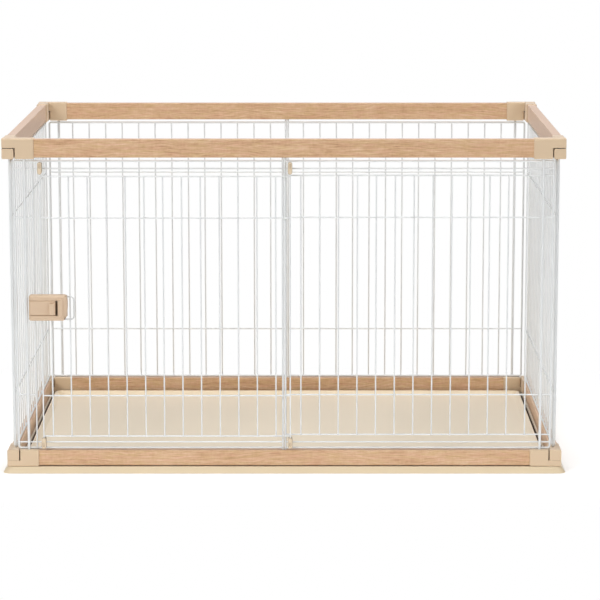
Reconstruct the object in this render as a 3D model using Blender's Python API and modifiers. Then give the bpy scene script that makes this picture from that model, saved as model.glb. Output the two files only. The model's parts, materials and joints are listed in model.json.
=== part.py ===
"""Wire pet playpen: four wire walls between wood-grain rails on a shallow floor tray,
with a sliding wire door and a finger latch in the left half of the front wall.

Sizes are in mm and are built in metres, +Z up.  X runs along the front wall, -Y is the
front.  The origin is the centre of the tray's underside.
"""

import math
from collections import namedtuple

import bmesh
import bpy
from mathutils import Matrix, Vector

MM = 0.001

# ---------------------------------------------------------------- driving sizes (mm)
PEN_W = 1250.0            # over the corner caps, left to right
PEN_D = 850.0             # over the corner caps, front to back
CAP_T = 26.0              # cap thickness across the wall
RAIL_T = 20.0             # rail thickness across the wall
CAP_L = 71.5              # cap length along the wall
SOCKET = 14.0             # how deep a cap's rail socket is
GAP = 0.3                 # clearance between assembled pieces
PAST = 2.0                # how far a cutter runs past the face it opens
ROUND_SIDES = 10          # sides of pins and small bores
HEAD_SIDES = 16           # sides of screw heads and the hook's hub

# Height ranges of what repeats at the top and at the bottom of the walls.
Level = namedtuple("Level", "cap rail lug_split pin")
LEVELS = {
    "top": Level(cap=(711.0, 757.0), rail=(714.0, 755.0), lug_split=(734.2, 736.0),
                 pin=(712.5, 751.2)),
    "bottom": Level(cap=(13.8, 51.8), rail=(15.8, 50.5), lug_split=(27.2, 27.5),
                    pin=(14.8, 45.8)),
}
TOP, LOW = LEVELS["top"], LEVELS["bottom"]

# Cross-wire axes, (low, high)
FRAME_Z = (54.5, 705.5)
GUIDE_Z = (68.0, 688.8)
GRID_Z = (85.1, 673.3)
MID_Z = (176.8, 579.4)
DOOR_Z = (83.9, 672.4)

WIRE_V = 3.2              # upright wires
WIRE_H = 3.4              # cross wires
FRAME_WIRE = 4.6          # frame wire
POST = 6.0                # thick uprights that peg into the caps
WELD = 0.7                # overlap of welded wires
TRIM = 0.1                # taken off a wire's half size where it meets one as thick
WIRE_END = 1.4            # an end's reach past the axis of the last wire it crosses

CENTRE_POST_X = 2.8       # frame posts either side of a long wall's centre
CENTRE_IN = 8.0           # how far they enter the rails
PEG_IN = 14.5             # how far the thick uprights enter the caps
THICK_IN = 49.0           # thick upright, from the outer face of the corner
FRAME_IN = 26.0           # outer frame wire, from the outer face of the corner
SIDE_IN = 4.0             # how far the side panels sit inside their walls' mid plane

# Offsets of the wires' axes, outward from the panel plane
FRAME_HALF = FRAME_WIRE / 2 - TRIM               # half size of the horizontal frame wires
V_OUT = FRAME_HALF + WIRE_V / 2 - WELD           # uprights
H_OUT = 0.5                                      # cross wires
THICK_OUT = FRAME_HALF + POST / 2 - WELD         # thick uprights

# ---------------------------------------------------------------- clean scene
for old in list(bpy.data.objects):
    bpy.data.objects.remove(old, do_unlink=True)
for old in list(bpy.data.collections):
    bpy.data.collections.remove(old)

PEN = bpy.data.collections.new("pet_playpen")
CUTTERS = bpy.data.collections.new("cutters")
bpy.context.scene.collection.children.link(PEN)
bpy.context.scene.collection.children.link(CUTTERS)


def material(name, colour, roughness, metallic=0.0):
    mat = bpy.data.materials.new(name)
    mat.use_nodes = True
    shader = mat.node_tree.nodes["Principled BSDF"]
    shader.inputs["Base Color"].default_value = (*colour, 1.0)
    shader.inputs["Roughness"].default_value = roughness
    shader.inputs["Metallic"].default_value = metallic
    return mat


WOOD = material("wood_grain_rail", colour=(0.66, 0.46, 0.28), roughness=0.55)
BEIGE = material("beige_plastic", colour=(0.68, 0.51, 0.35), roughness=0.42)
CREAM = material("cream_tray_plastic", colour=(0.84, 0.70, 0.47), roughness=0.40)
WHITE = material("white_coated_wire", colour=(0.83, 0.83, 0.81), roughness=0.32)
STEEL = material("zinc_steel", colour=(0.62, 0.62, 0.63), roughness=0.35, metallic=1.0)


# ---------------------------------------------------------------- helpers
def grow(span, by):
    """A (low, high) range widened at both ends, or narrowed when `by` is negative."""
    return span[0] - by, span[1] + by


def about(middle, half):
    return middle - half, middle + half


def add_box(bm, ranges):
    """A cube primitive stretched over its x, y and z ranges."""
    low, high = (Vector(corner) for corner in zip(*ranges))
    size = high - low
    place = Matrix.Translation((low + high) / 2 * MM) @ Matrix.Diagonal((*(size * MM), 1.0))
    bmesh.ops.create_cube(bm, size=1.0, matrix=place)


def add_cylinder(bm, centre, radius, length, axis="Z", sides=ROUND_SIDES):
    turn = Matrix.Rotation(math.pi / 2, 4, "X") if axis == "Y" else Matrix()
    bmesh.ops.create_cone(
        bm, cap_ends=True, segments=sides, radius1=radius * MM, radius2=radius * MM,
        depth=length * MM, matrix=Matrix.Translation(Vector(centre) * MM) @ turn)


def to_object(bm, name, mat=None, origin=(0, 0, 0)):
    """A piece of the pen, or a hidden boolean helper when it has no material."""
    bmesh.ops.recalc_face_normals(bm, faces=bm.faces)
    shift = Vector(origin) * MM
    bmesh.ops.translate(bm, vec=-shift, verts=bm.verts)
    mesh = bpy.data.meshes.new(name)
    bm.to_mesh(mesh)
    bm.free()
    obj = bpy.data.objects.new(name, mesh)
    obj.location = shift
    if mat:
        mesh.materials.append(mat)
        PEN.objects.link(obj)
    else:
        CUTTERS.objects.link(obj)
        obj.hide_render = True
        obj.display_type = "WIRE"
    return obj


def boxes(name, box_list, mat=None, origin=(0, 0, 0)):
    bm = bmesh.new()
    for ranges in box_list:
        add_box(bm, ranges)
    return to_object(bm, name, mat, origin)


def cylinders(name, centres, radius, length, axis="Z", sides=ROUND_SIDES,
              mat=None, origin=(0, 0, 0)):
    bm = bmesh.new()
    for centre in centres:
        add_cylinder(bm, centre, radius, length, axis, sides)
    return to_object(bm, name, mat, origin)


def bevel(obj, width, segments=1):
    mod = obj.modifiers.new("edge_round", "BEVEL")
    mod.width = width * MM
    mod.segments = segments
    mod.limit_method = "ANGLE"
    mod.angle_limit = math.radians(40)
    return obj


def boolean(obj, other, operation):
    mod = obj.modifiers.new(operation.lower() + "_" + other.name, "BOOLEAN")
    mod.operation = operation
    mod.object = other
    mod.solver = "EXACT"


def join(obj, other):
    boolean(obj, other, "UNION")


def cut(obj, other):
    boolean(obj, other, "DIFFERENCE")


def smooth(obj, angle):
    obj.data.shade_smooth()
    obj.data.set_sharp_from_angle(angle=math.radians(angle))


# ---------------------------------------------------------------- floor tray
TRAY_HALF = (635.0, 435.0)
TRAY_LEDGE = 13.5
TRAY_FLOOR = 12.0
TRAY_SOLE = TRAY_FLOOR - 3.0      # underside of the raised floor
# The raised floor rests on a solid foot under its middle, this far in from the tray's edge.
FOOT_INSET = 396.0
TRAY_CORNER_STEPS = 3

# Rounded-rectangle loops: inset from the tray's outer edge, z, corner radius.
# Upper skin, from the floor out to the edge
TRAY_UPPER = [
    (72.0, TRAY_FLOOR, 10), (57.0, TRAY_FLOOR + 0.3, 13),
    (48.8, 19.4, 14), (47.4, 20.1, 14), (45.2, 20.1, 14), (43.6, 19.0, 15),
    (42.8, 5.5, 15), (37.6, 5.5, 15),
    (36.8, TRAY_LEDGE, 15), (10.8, TRAY_LEDGE, 14),
    (8.6, 12.6, 14.6), (1.0, 2.2, 16.6), (0.0, 0.0, 17),
]
# Lower skin, from the edge in to the foot
TRAY_LOWER = [
    (3.2, 0.0, 15.8), (10.6, 10.2, 13.5), (12.4, 11.0, 13), (34.2, 11.0, 14),
    (35.2, 3.0, 14), (45.2, 3.0, 14), (46.0, 17.2, 13), (47.6, 17.2, 13),
    (56.0, TRAY_SOLE + 0.2, 12), (69.6, TRAY_SOLE, 10),
    (FOOT_INSET - 2.0, TRAY_SOLE, 10), (FOOT_INSET, 0.0, 8),
]


def tray_loop(bm, inset, z, radius):
    half_x, half_y = TRAY_HALF[0] - inset, TRAY_HALF[1] - inset
    verts = []
    for sign_x, sign_y, start in ((1, 1, 0), (-1, 1, 90), (-1, -1, 180), (1, -1, 270)):
        for i in range(TRAY_CORNER_STEPS + 1):
            angle = math.radians(start + 90.0 * i / TRAY_CORNER_STEPS)
            x = sign_x * (half_x - radius) + radius * math.cos(angle)
            y = sign_y * (half_y - radius) + radius * math.sin(angle)
            verts.append(bm.verts.new((x * MM, y * MM, z * MM)))
    return verts


def floor_tray():
    bm = bmesh.new()
    loops = [tray_loop(bm, *row) for row in TRAY_UPPER + TRAY_LOWER]
    for near, far in zip(loops, loops[1:]):
        count = len(near)
        for i in range(count):
            j = (i + 1) % count
            bm.faces.new((near[i], near[j], far[j], far[i]))
    bm.faces.new(loops[0])
    bm.faces.new(loops[-1])
    smooth(to_object(bm, "floor_tray", CREAM), 50)


floor_tray()

# ---------------------------------------------------------------- walls
# A wall's own axes run along it and outward from its mid plane.
# half_length is over the caps, mid is the mid plane's distance from the pen's centre,
# along and outward are (x, y) directions, ends name the low and high ends.
Wall = namedtuple("Wall", "half_length mid along outward ends")
MID_X = (PEN_W - CAP_T) / 2
MID_Y = (PEN_D - CAP_T) / 2
WALLS = {
    "front": Wall(PEN_W / 2, MID_Y, (1, 0), (0, -1), ("left", "right")),
    "back": Wall(PEN_W / 2, MID_Y, (1, 0), (0, 1), ("left", "right")),
    "left": Wall(PEN_D / 2, MID_X, (0, 1), (-1, 0), ("front", "back")),
    "right": Wall(PEN_D / 2, MID_X, (0, 1), (1, 0), ("front", "back")),
}
LONG_WALLS = ("front", "back")


def wall_point(side, along, out, z):
    wall = WALLS[side]
    x, y = (outward * wall.mid + direction * along + outward * out
            for direction, outward in zip(wall.along, wall.outward))
    return x, y, z


def wall_box(side, along, out, z):
    """World ranges of a box given by its ranges along the wall, outward, and in height."""
    first = wall_point(side, along[0], out[0], z[0])
    second = wall_point(side, along[1], out[1], z[1])
    return tuple(tuple(sorted(pair)) for pair in zip(first, second))


def hole_z(level, span, depth):
    """Heights of a blind hole in the top piece's underside or the bottom piece's top."""
    if level == "top":
        return span[0] - PAST, span[0] + depth
    return span[1] - depth, span[1] + PAST


# ---------------------------------------------------------------- rails
RAIL_END_GAP = 0.5        # between a rail's end and the bottom of its socket
SLOT_SIDE = 4.2           # slot's reach along the rail past a centre post's axis
SLOT_HALF_T = 2.9         # half the slot's width across the rail
HOLE_SPARE = 1.0          # a hole's depth beyond the wire in it


def rail(side, level):
    z = LEVELS[level].rail
    end = WALLS[side].half_length - CAP_L + SOCKET - RAIL_END_GAP
    name = "rail_%s_%s" % (side, level)
    obj = boxes(name, [wall_box(side, about(0, end), about(0, RAIL_T / 2), z)], WOOD)
    bevel(obj, 1.2)
    if side in LONG_WALLS:
        slot = wall_box(side, about(0, CENTRE_POST_X + SLOT_SIDE), about(0, SLOT_HALF_T),
                        hole_z(level, z, CENTRE_IN + HOLE_SPARE))
        cut(obj, boxes("slot_" + name, [slot]))


# ---------------------------------------------------------------- corner caps and pins
LUG = 26.6                # side of the square corner lug
LUG_SLIT = 2.8            # slit beside a neighbouring lug
LUG_ROOT = 4.0            # how far lug and web run into the cap's body
LUG_ROOF = 5.0            # solid left above the pin in an upper lug
WEB_INWARD = (11.5, 23.0)     # web across the wall, from its outer face
WEB_EDGE = 2.4            # web's inset from the cap's top or bottom
WEB_CLEAR = 0.6           # web's distance from the lug split
PIN_R = 3.0


def cap(side, end, level):
    """A moulded cap: a body with the rail socket and peg hole, and half a lap knuckle.

    `end` is -1 or +1 along the wall.
    """
    wall, heights = WALLS[side], LEVELS[level]
    name = "cap_%s_%s_%s" % (side, level, wall.ends[end > 0])
    low, high = heights.cap
    split_low, split_high = heights.lug_split
    long_wall = side in LONG_WALLS
    upper_lug = long_wall == (level == "top")
    lug_z = (split_high, high) if upper_lug else (low, split_low)

    def corner_box(along, inward, z):
        """Ranges from the corner's outer face along the wall, and from the outer face in."""
        return wall_box(side, [end * (wall.half_length - a) for a in along],
                        [CAP_T / 2 - b for b in inward], z)

    body_start = LUG + LUG_SLIT
    root = body_start + LUG_ROOT
    obj = bevel(boxes(name, [corner_box((body_start, CAP_L), (0, CAP_T), (low, high))], BEIGE),
                2.2)
    join(obj, bevel(boxes("lug_" + name, [corner_box((0, root), (0, LUG), lug_z)]), 2.6))

    # The web fills the slit at the neighbouring lug's height.
    if upper_lug:
        web_z = (low + WEB_EDGE, split_low - WEB_CLEAR)
    else:
        web_z = (split_high + WEB_CLEAR, high - WEB_EDGE)
    join(obj, boxes("web_" + name, [corner_box((LUG + GAP, root), WEB_INWARD, web_z)]))

    socket = corner_box((CAP_L - SOCKET, CAP_L + PAST), about(CAP_T / 2, RAIL_T / 2 + GAP),
                        grow(heights.rail, GAP))
    peg_inward = CAP_T / 2 - (THICK_OUT - (0 if long_wall else SIDE_IN))
    peg_half = POST / 2 + GAP
    peg_hole = corner_box(about(THICK_IN, peg_half), about(peg_inward, peg_half),
                          hole_z(level, heights.cap, PEG_IN + HOLE_SPARE))
    cut(obj, boxes("holes_" + name, [socket, peg_hole]))

    # The pin's bore is blind in an upper lug and goes through a lower one.
    bottom = lug_z[0] - PAST
    top = lug_z[1] - LUG_ROOF if upper_lug else lug_z[1] + PAST
    centre = wall_point(side, end * (wall.half_length - LUG / 2), CAP_T / 2 - LUG / 2,
                        (bottom + top) / 2)
    cut(obj, cylinders("bore_" + name, [centre], PIN_R + GAP, top - bottom))


def corner_pin(sign_x, sign_y, level):
    low, high = LEVELS[level].pin
    x, y = sign_x * (PEN_W - LUG) / 2, sign_y * (PEN_D - LUG) / 2
    words = (("front", "back")[sign_y > 0], ("left", "right")[sign_x > 0], level)
    cylinders("corner_pin_%s_%s_%s" % words, [(x, y, (low + high) / 2)], PIN_R, high - low,
              mat=STEEL, origin=(x, y, low))


for level in LEVELS:
    for side in WALLS:
        rail(side, level)
        for end in (-1, 1):
            cap(side, end, level)
    for sign_x in (-1, 1):
        for sign_y in (-1, 1):
            corner_pin(sign_x, sign_y, level)

# ---------------------------------------------------------------- welded wire panels
PITCH = 41.6              # uprights of the back and side panels
FIXED_FIRST = 37.3        # first upright of the fixed front grid
FIXED_PITCH = 42.0
GRID_COUNT = 13           # uprights in each half of a long wall, and in the door
SIDE_HALF_COUNT = 8       # uprights either side of a side panel's middle one
JAMB_X = -557.7           # slim upright that the latch hooks
JAMB_END = 1.2            # short cross wires' reach past the jamb's axis

POST_Z = grow(FRAME_Z, FRAME_WIRE / 2)
CENTRE_Z = (LOW.rail[1] - CENTRE_IN, TOP.rail[0] + CENTRE_IN)
PEG_Z = (LOW.cap[1] - PEG_IN, TOP.cap[0] + PEG_IN)
FULL_Z = grow(FRAME_Z, WIRE_END)


def upright(side, along, z, size, out):
    return wall_box(side, about(along, size / 2), about(out, size / 2), z)


def cross(side, along, z, size, out):
    return wall_box(side, along, about(out, size / 2), about(z, size / 2))


def cross_wires(side, along, heights, shift=0):
    """The two frame wires, then thinner wires at the given heights."""
    wires = [cross(side, along, z, 2 * FRAME_HALF, shift) for z in FRAME_Z]
    return wires + [cross(side, along, z, WIRE_H, H_OUT + shift) for z in heights]


def wire_panel(name, posts, crosses, uprights):
    """Frame posts, then the cross wires, then the lapped uprights, welded into one body."""
    panel = boxes(name, posts, WHITE)
    join(panel, boxes("cross_" + name, crosses))
    join(panel, boxes("uprights_" + name, uprights))


def half_panel(name, side, end, heights, uprights, short_crosses=()):
    """Half of a long wall, from the corner to its centre; end is -1 left, +1 right."""
    half_length = WALLS[side].half_length
    outer, inner = end * (half_length - FRAME_IN), end * CENTRE_POST_X
    posts = [upright(side, outer, POST_Z, FRAME_WIRE, 0),
             upright(side, inner, CENTRE_Z, FRAME_WIRE, 0)]
    crosses = cross_wires(side, (outer, inner), heights)
    thick = upright(side, end * (half_length - THICK_IN), PEG_Z, POST, THICK_OUT)
    wire_panel(name, posts, crosses + list(short_crosses), uprights + [thick])


def back_panel(end):
    uprights = [upright("back", end * k * PITCH, FULL_Z, WIRE_V, V_OUT)
                for k in range(1, GRID_COUNT + 1)]
    name = "wire_panel_back_" + WALLS["back"].ends[end > 0]
    half_panel(name, "back", end, MID_Z, uprights)


def side_panel(side):
    half_length = WALLS[side].half_length
    outer = half_length - FRAME_IN
    posts = [upright(side, x, POST_Z, FRAME_WIRE, -SIDE_IN) for x in (-outer, outer)]
    crosses = cross_wires(side, (-outer, outer), MID_Z, -SIDE_IN)
    uprights = [upright(side, k * PITCH, FULL_Z, WIRE_V, V_OUT - SIDE_IN)
                for k in range(-SIDE_HALF_COUNT, SIDE_HALF_COUNT + 1)]
    uprights += [upright(side, end * (half_length - THICK_IN), PEG_Z, POST,
                         THICK_OUT - SIDE_IN) for end in (-1, 1)]
    wire_panel("wire_panel_" + side, posts, crosses, uprights)


def front_fixed_panel():
    uprights = [upright("front", FIXED_FIRST + k * FIXED_PITCH, grow(GRID_Z, WIRE_END),
                        WIRE_V, V_OUT) for k in range(GRID_COUNT)]
    half_panel("wire_panel_front_fixed", "front", 1, sorted((*GUIDE_Z, *GRID_Z, *MID_Z)),
               uprights)


def front_door_frame():
    """The doorway, with a jamb tied to the outer post by two short cross wires."""
    outer = FRAME_IN - WALLS["front"].half_length
    short = [cross("front", (outer, JAMB_X + JAMB_END), z, WIRE_H, H_OUT) for z in MID_Z]
    jamb = upright("front", JAMB_X, FULL_Z, WIRE_V, V_OUT)
    half_panel("wire_panel_front_door_frame", "front", -1, GUIDE_Z, [jamb], short)


for end in (-1, 1):
    back_panel(end)
for side in ("left", "right"):
    side_panel(side)
front_fixed_panel()
front_door_frame()

# ---------------------------------------------------------------- sliding door
DOOR_X = (-541.2, 13.6)   # edge wires
DOOR_FIRST = -519.5       # first grid upright
DOOR_PITCH = 41.75
DOOR_Y = -424.0           # plane of the door's cross wires
DOOR_UP_Y = DOOR_Y - (WIRE_V / 2 + WIRE_H / 2 - WELD)      # plane of its uprights
DOOR_EDGE_Z = (GUIDE_Z[0] - 4, GUIDE_Z[1] + 8)
LOOP_Z = (351.0, 402.3)   # the loop's two short cross wires
LOOP_X = -469.6           # upright that closes the loop


def door_panel():
    half = WIRE_H / 2
    wires = [(grow(DOOR_X, WIRE_END), about(DOOR_Y, half), about(z, half))
             for z in sorted((*DOOR_Z, *MID_Z))]
    wires += [((DOOR_FIRST - WIRE_END, LOOP_X), about(DOOR_Y, half), about(z, half))
              for z in LOOP_Z]
    obj = boxes("door_panel", wires, WHITE)
    half = WIRE_H / 2 - TRIM
    join(obj, boxes("loop_door_panel",
                    [(about(LOOP_X, half), about(DOOR_Y, half), grow(LOOP_Z, half))]))
    half = WIRE_V / 2
    uprights = [(about(DOOR_FIRST + k * DOOR_PITCH, half), about(DOOR_UP_Y, half),
                 grow(DOOR_Z, WIRE_END)) for k in range(GRID_COUNT)]
    uprights += [(about(x, half), about(DOOR_UP_Y, half), DOOR_EDGE_Z) for x in DOOR_X]
    join(obj, boxes("uprights_door_panel", uprights))


CLIP_W = 10.0
CLIP_BODY_Y = (-431.6, -420.6)
CLIP_HOOK_Y = (-424.0, -408.8)
CLIP_HOOK_INSET = 0.8     # hook's inset from each side of the body
CLIP_END_GAP = 0.5        # past the end of the edge wire
CLIP_SLOT_DROP = 3.0      # how far the guide slot starts below the hook
CLIP_BODY_Z = {"top": (677.2, 704.4), "bottom": (55.2, 80.8)}
CLIP_HOOK_Z = {"top": (681.0, 701.8), "bottom": (59.6, 79.4)}


def door_clip(x, word, level):
    """A moulded runner: it sockets the door's edge wire and hangs over the guide wire."""
    name = "door_clip_%s_%s" % (level, word)
    body_z, hook_z = CLIP_BODY_Z[level], CLIP_HOOK_Z[level]
    body_x = about(x, CLIP_W / 2)
    obj = bevel(boxes(name, [(body_x, CLIP_BODY_Y, body_z)], BEIGE), 2.6)
    hook = boxes("hook_" + name, [(grow(body_x, -CLIP_HOOK_INSET), CLIP_HOOK_Y, hook_z)])
    join(obj, bevel(hook, 1.2))

    if level == "top":
        guide = GUIDE_Z[1]
        socket_z = (body_z[0] - PAST, DOOR_EDGE_Z[1] + CLIP_END_GAP)
    else:
        guide = GUIDE_Z[0]
        socket_z = (DOOR_EDGE_Z[0] - CLIP_END_GAP, body_z[1] + PAST)
    edge_half = WIRE_V / 2 + GAP
    guide_half = WIRE_H / 2 + GAP
    edge_socket = (about(x, edge_half), about(DOOR_UP_Y, edge_half), socket_z)
    guide_slot = (grow(body_x, PAST), about(-MID_Y - H_OUT, guide_half),
                  (hook_z[0] - CLIP_SLOT_DROP, guide + guide_half))
    cut(obj, boxes("cuts_" + name, [edge_socket, guide_slot]))


door_panel()
for x, word in zip(DOOR_X, ("left", "right")):
    for level in LEVELS:
        door_clip(x, word, level)

# ---------------------------------------------------------------- door latch
# Boxes are x, y, z ranges; the low y is the front.
HOOK_X, HOOK_Y = -548.7, -425.0       # the hook's upright pivot
HOOK_Z = (375.0, 387.0)
HOOK_MID_Z = (HOOK_Z[0] + HOOK_Z[1]) / 2
HOOK_HEIGHT = HOOK_Z[1] - HOOK_Z[0]
HOOK_PIVOT = (HOOK_X, HOOK_Y, HOOK_MID_Z)
HOOK_OPEN_DEG = 16.0
HOOK_PIN_R = 1.5
HOOK_PIN_L = 42.0
KNOB_OUT = 7.26           # knob's axis in front of the pivot

SCREWS = {"upper": (-530.3, 394.0), "lower": (-492.0, 364.0)}      # x, z
SHANK_R = 1.5

HOUSING_X = (-568.0, -482.3)
HOUSING_Y = (-450.0, -428.6)
HOUSING_Z = (351.6, 408.8)
OVERHANG = ((HOUSING_X[0], -543.2), (-434.0, -420.6), grow(HOUSING_Z, -4.2))
RIDGE = ((-502.9, -491.2), (HOUSING_Y[0] - 3.2, HOUSING_Y[0] + 1.5), (361.0, 400.0))
CAVITY = (grow(HOUSING_X, -2), (-448.0, -431.2), grow(HOUSING_Z, -2.4))

LEVER = ((-563.7, -508.3), (-447.6, -443.8), (358.6, 404.0))
LEVER_ORIGIN = (HOOK_X, -445.0, HOOK_MID_Z)
LEVER_TRAVEL = 4.3
GRIP = ((-524.2, -508.4), (-452.4, -445.5), (364.6, 396.2))
FORK_X = about(HOOK_X, 5.0)
FORK = (FORK_X, (-444.6, -430.0), grow(HOOK_Z, -0.5))
FORK_SLOT = (about(HOOK_X, 2.5), (-440.0, -429.0), grow(HOOK_Z, PAST))

LEVER_WINDOW = ((HOUSING_X[0] - PAST, -503.7), (-453.0, -446.0), (363.1, 397.7))
HOOK_WINDOW = ((HOUSING_X[0] - PAST, FORK_X[1] + LEVER_TRAVEL + 0.6), (-433.0, -419.0),
               grow(HOOK_Z, GAP))
LEDGE_Y = (-443.4, -441.0)
LOWER_LEDGE = (grow(HOUSING_X, -1), LEDGE_Y, (HOUSING_Z[0] + 1, 358.0))
UPPER_LEDGE = (grow(HOUSING_X, -1), LEDGE_Y, (404.6, HOUSING_Z[1] - 1))
RIB_X = (-514.7 - 2.0, -514.7)        # rib that the spring bears on
RIB = (RIB_X, (LEDGE_Y[0], -430.4), (371.0, 391.6))

BACK_PLATE = ((-538.2, -484.2), (-422.0, -418.7), (356.6, 406.2))
SCREW_HEAD_Y = -419.1     # middle of the head


def screw_points(y):
    return [(x, y, z) for x, z in SCREWS.values()]


def latch_housing():
    obj = bevel(boxes("latch_housing", [(HOUSING_X, HOUSING_Y, HOUSING_Z)], BEIGE), 4.0, 2)
    join(obj, bevel(boxes("overhang", [OVERHANG]), 1.0))
    join(obj, bevel(boxes("ridge", [RIDGE]), 1.4))
    cut(obj, boxes("cavity", [CAVITY]))
    cut(obj, boxes("windows", [LEVER_WINDOW, HOOK_WINDOW]))
    join(obj, boxes("ledges", [LOWER_LEDGE, UPPER_LEDGE, RIB]))
    join(obj, cylinders("screw_bosses", screw_points(-434.8), radius=4.0, length=8.6, axis="Y"))
    bm = bmesh.new()
    for point in screw_points(-432.3):
        add_cylinder(bm, point, SHANK_R + GAP, length=12.4, axis="Y")
    add_cylinder(bm, HOOK_PIVOT, HOOK_PIN_R + GAP, HOOK_PIN_L + 2 * GAP)
    cut(obj, to_object(bm, "screw_holes"))


def latch_lever():
    obj = bevel(boxes("latch_lever", [LEVER], BEIGE, LEVER_ORIGIN), 0.5)
    join(obj, bevel(boxes("grip", [GRIP]), 1.6))
    join(obj, boxes("fork", [FORK]))
    cut(obj, boxes("fork_slot", [FORK_SLOT]))


def opened_box(name, ranges):
    """A box drawn about the pivot in the locked position, then turned open."""
    bm = bmesh.new()
    add_box(bm, ranges)
    turn = (Matrix.Translation(Vector((HOOK_X, HOOK_Y, 0)) * MM)
            @ Matrix.Rotation(math.radians(HOOK_OPEN_DEG), 4, "Z"))
    bmesh.ops.transform(bm, matrix=turn, verts=bm.verts)
    return to_object(bm, name)


def latch_hook():
    """Only the arm and tip are turned open; the crank stays square to the door."""
    obj = cylinders("latch_hook", [HOOK_PIVOT], radius=4.0, length=HOOK_HEIGHT - 0.2,
                    sides=HEAD_SIDES, mat=BEIGE, origin=HOOK_PIVOT)
    join(obj, opened_box("hook_arm", ((-14.0, 0), (-1.5, 1.5), HOOK_Z)))
    join(obj, opened_box("hook_tip", ((-15.3, -12.5), (-1.7, 10.4), grow(HOOK_Z, -0.2))))
    stem = (about(HOOK_X, 1.0), (HOOK_Y - 7.3, HOOK_Y), grow(HOOK_Z, -1))
    join(obj, boxes("hook_stem", [stem]))
    join(obj, cylinders("hook_knob", [(HOOK_X, HOOK_Y - KNOB_OUT, HOOK_MID_Z)],
                        radius=2.0, length=HOOK_HEIGHT - 2.4))
    cut(obj, cylinders("hook_bore", [HOOK_PIVOT], HOOK_PIN_R + GAP, HOOK_HEIGHT + 2 * PAST))


def latch_hook_pin():
    cylinders("latch_hook_pin", [HOOK_PIVOT], HOOK_PIN_R, HOOK_PIN_L, mat=STEEL,
              origin=HOOK_PIVOT)


def latch_back_plate():
    obj = bevel(boxes("latch_back_plate", [BACK_PLATE], BEIGE), 1.0)
    cut(obj, cylinders("plate_holes", screw_points(-420.0), SHANK_R + GAP, length=8.0,
                       axis="Y"))
    cut(obj, cylinders("plate_counterbores", screw_points(-418.2), radius=3.4, length=4.2,
                       axis="Y", sides=HEAD_SIDES))


def latch_screw(name, x, z):
    """A round head at the back, a plain shank running forward and a straight drive slot."""
    head = (x, SCREW_HEAD_Y, z)
    obj = cylinders(name, [head], radius=3.0, length=1.6, axis="Y", sides=HEAD_SIDES,
                    mat=STEEL, origin=head)
    join(obj, cylinders("shank_" + name, [(x, -428.6, z)], SHANK_R, length=18.4, axis="Y"))
    drive = (about(x, 2.0), (-418.9, -418.0), about(z, 0.35))
    cut(obj, boxes("drive_" + name, [drive]))


SPRING_TURNS = 6
SPRING_STEPS = 8          # points per turn
SPRING_R = 2.6            # coil radius, to the wire's axis
SPRING_WIRE_R = 0.45
SPRING_Y = -437.4
SPRING_END_GAP = 0.9      # from the wire's axis to the fork or the rib


def latch_spring():
    """Compression spring between the lever's fork and the housing's rib."""
    start, stop = FORK_X[1] + SPRING_END_GAP, RIB_X[0] - SPRING_END_GAP
    curve = bpy.data.curves.new("latch_spring", "CURVE")
    curve.dimensions = "3D"
    curve.bevel_depth = SPRING_WIRE_R * MM
    curve.bevel_resolution = 0
    curve.use_fill_caps = True
    steps = SPRING_TURNS * SPRING_STEPS
    spline = curve.splines.new("POLY")
    spline.points.add(steps)
    for i in range(steps + 1):
        angle = 2 * math.pi * i / SPRING_STEPS
        x = start + (stop - start) * i / steps
        y = SPRING_Y + SPRING_R * math.cos(angle)
        z = HOOK_MID_Z + SPRING_R * math.sin(angle)
        spline.points[i].co = (x * MM, y * MM, z * MM, 1)
    curve.materials.append(STEEL)
    PEN.objects.link(bpy.data.objects.new("latch_spring", curve))


latch_housing()
latch_lever()
latch_hook()
latch_hook_pin()
latch_back_plate()
for word, (x, z) in SCREWS.items():
    latch_screw("latch_screw_" + word, x, z)
latch_spring()

# The tray is already smoothed, at its own wider angle.
for piece in PEN.objects:
    if piece.type == "MESH" and piece.name != "floor_tray":
        smooth(piece, 35)
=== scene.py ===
"""Visual model of a wire pet playpen, built over the nodes of its CAD frame.

Every wire panel, rail, cap, runner and latch part is rebuilt in detail in the place its CAD node
holds, and rides on the same body.  The scene is in metres, +Z up, with the front wall and its
sliding door at -Y.  Sizes below are in mm unless a comment says otherwise.
"""

import json
import math
from collections import namedtuple

import bmesh
import bpy
from mathutils import Matrix, Vector


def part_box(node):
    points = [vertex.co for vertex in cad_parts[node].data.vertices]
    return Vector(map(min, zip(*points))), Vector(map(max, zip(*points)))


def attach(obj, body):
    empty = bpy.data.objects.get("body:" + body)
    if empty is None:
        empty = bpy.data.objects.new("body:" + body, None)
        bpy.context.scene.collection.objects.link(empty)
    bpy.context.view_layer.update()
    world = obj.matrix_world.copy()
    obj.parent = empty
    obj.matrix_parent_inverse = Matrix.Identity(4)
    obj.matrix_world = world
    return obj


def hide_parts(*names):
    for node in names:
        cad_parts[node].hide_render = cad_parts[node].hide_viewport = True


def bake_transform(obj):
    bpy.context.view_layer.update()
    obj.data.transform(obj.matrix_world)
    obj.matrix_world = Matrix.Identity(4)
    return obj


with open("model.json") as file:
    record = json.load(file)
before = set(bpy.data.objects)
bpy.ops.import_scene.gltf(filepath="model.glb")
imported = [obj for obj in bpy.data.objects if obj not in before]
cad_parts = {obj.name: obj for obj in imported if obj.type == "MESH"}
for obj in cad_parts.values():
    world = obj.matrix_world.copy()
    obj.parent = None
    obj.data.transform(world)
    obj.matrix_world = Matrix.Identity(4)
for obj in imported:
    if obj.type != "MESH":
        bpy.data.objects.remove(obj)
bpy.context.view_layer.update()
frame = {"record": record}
NODE_BODY = {node: body for body, nodes in frame["record"]["behaviour"]["bodies"].items()
             for node in nodes}
MILLI = 0.001

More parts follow.
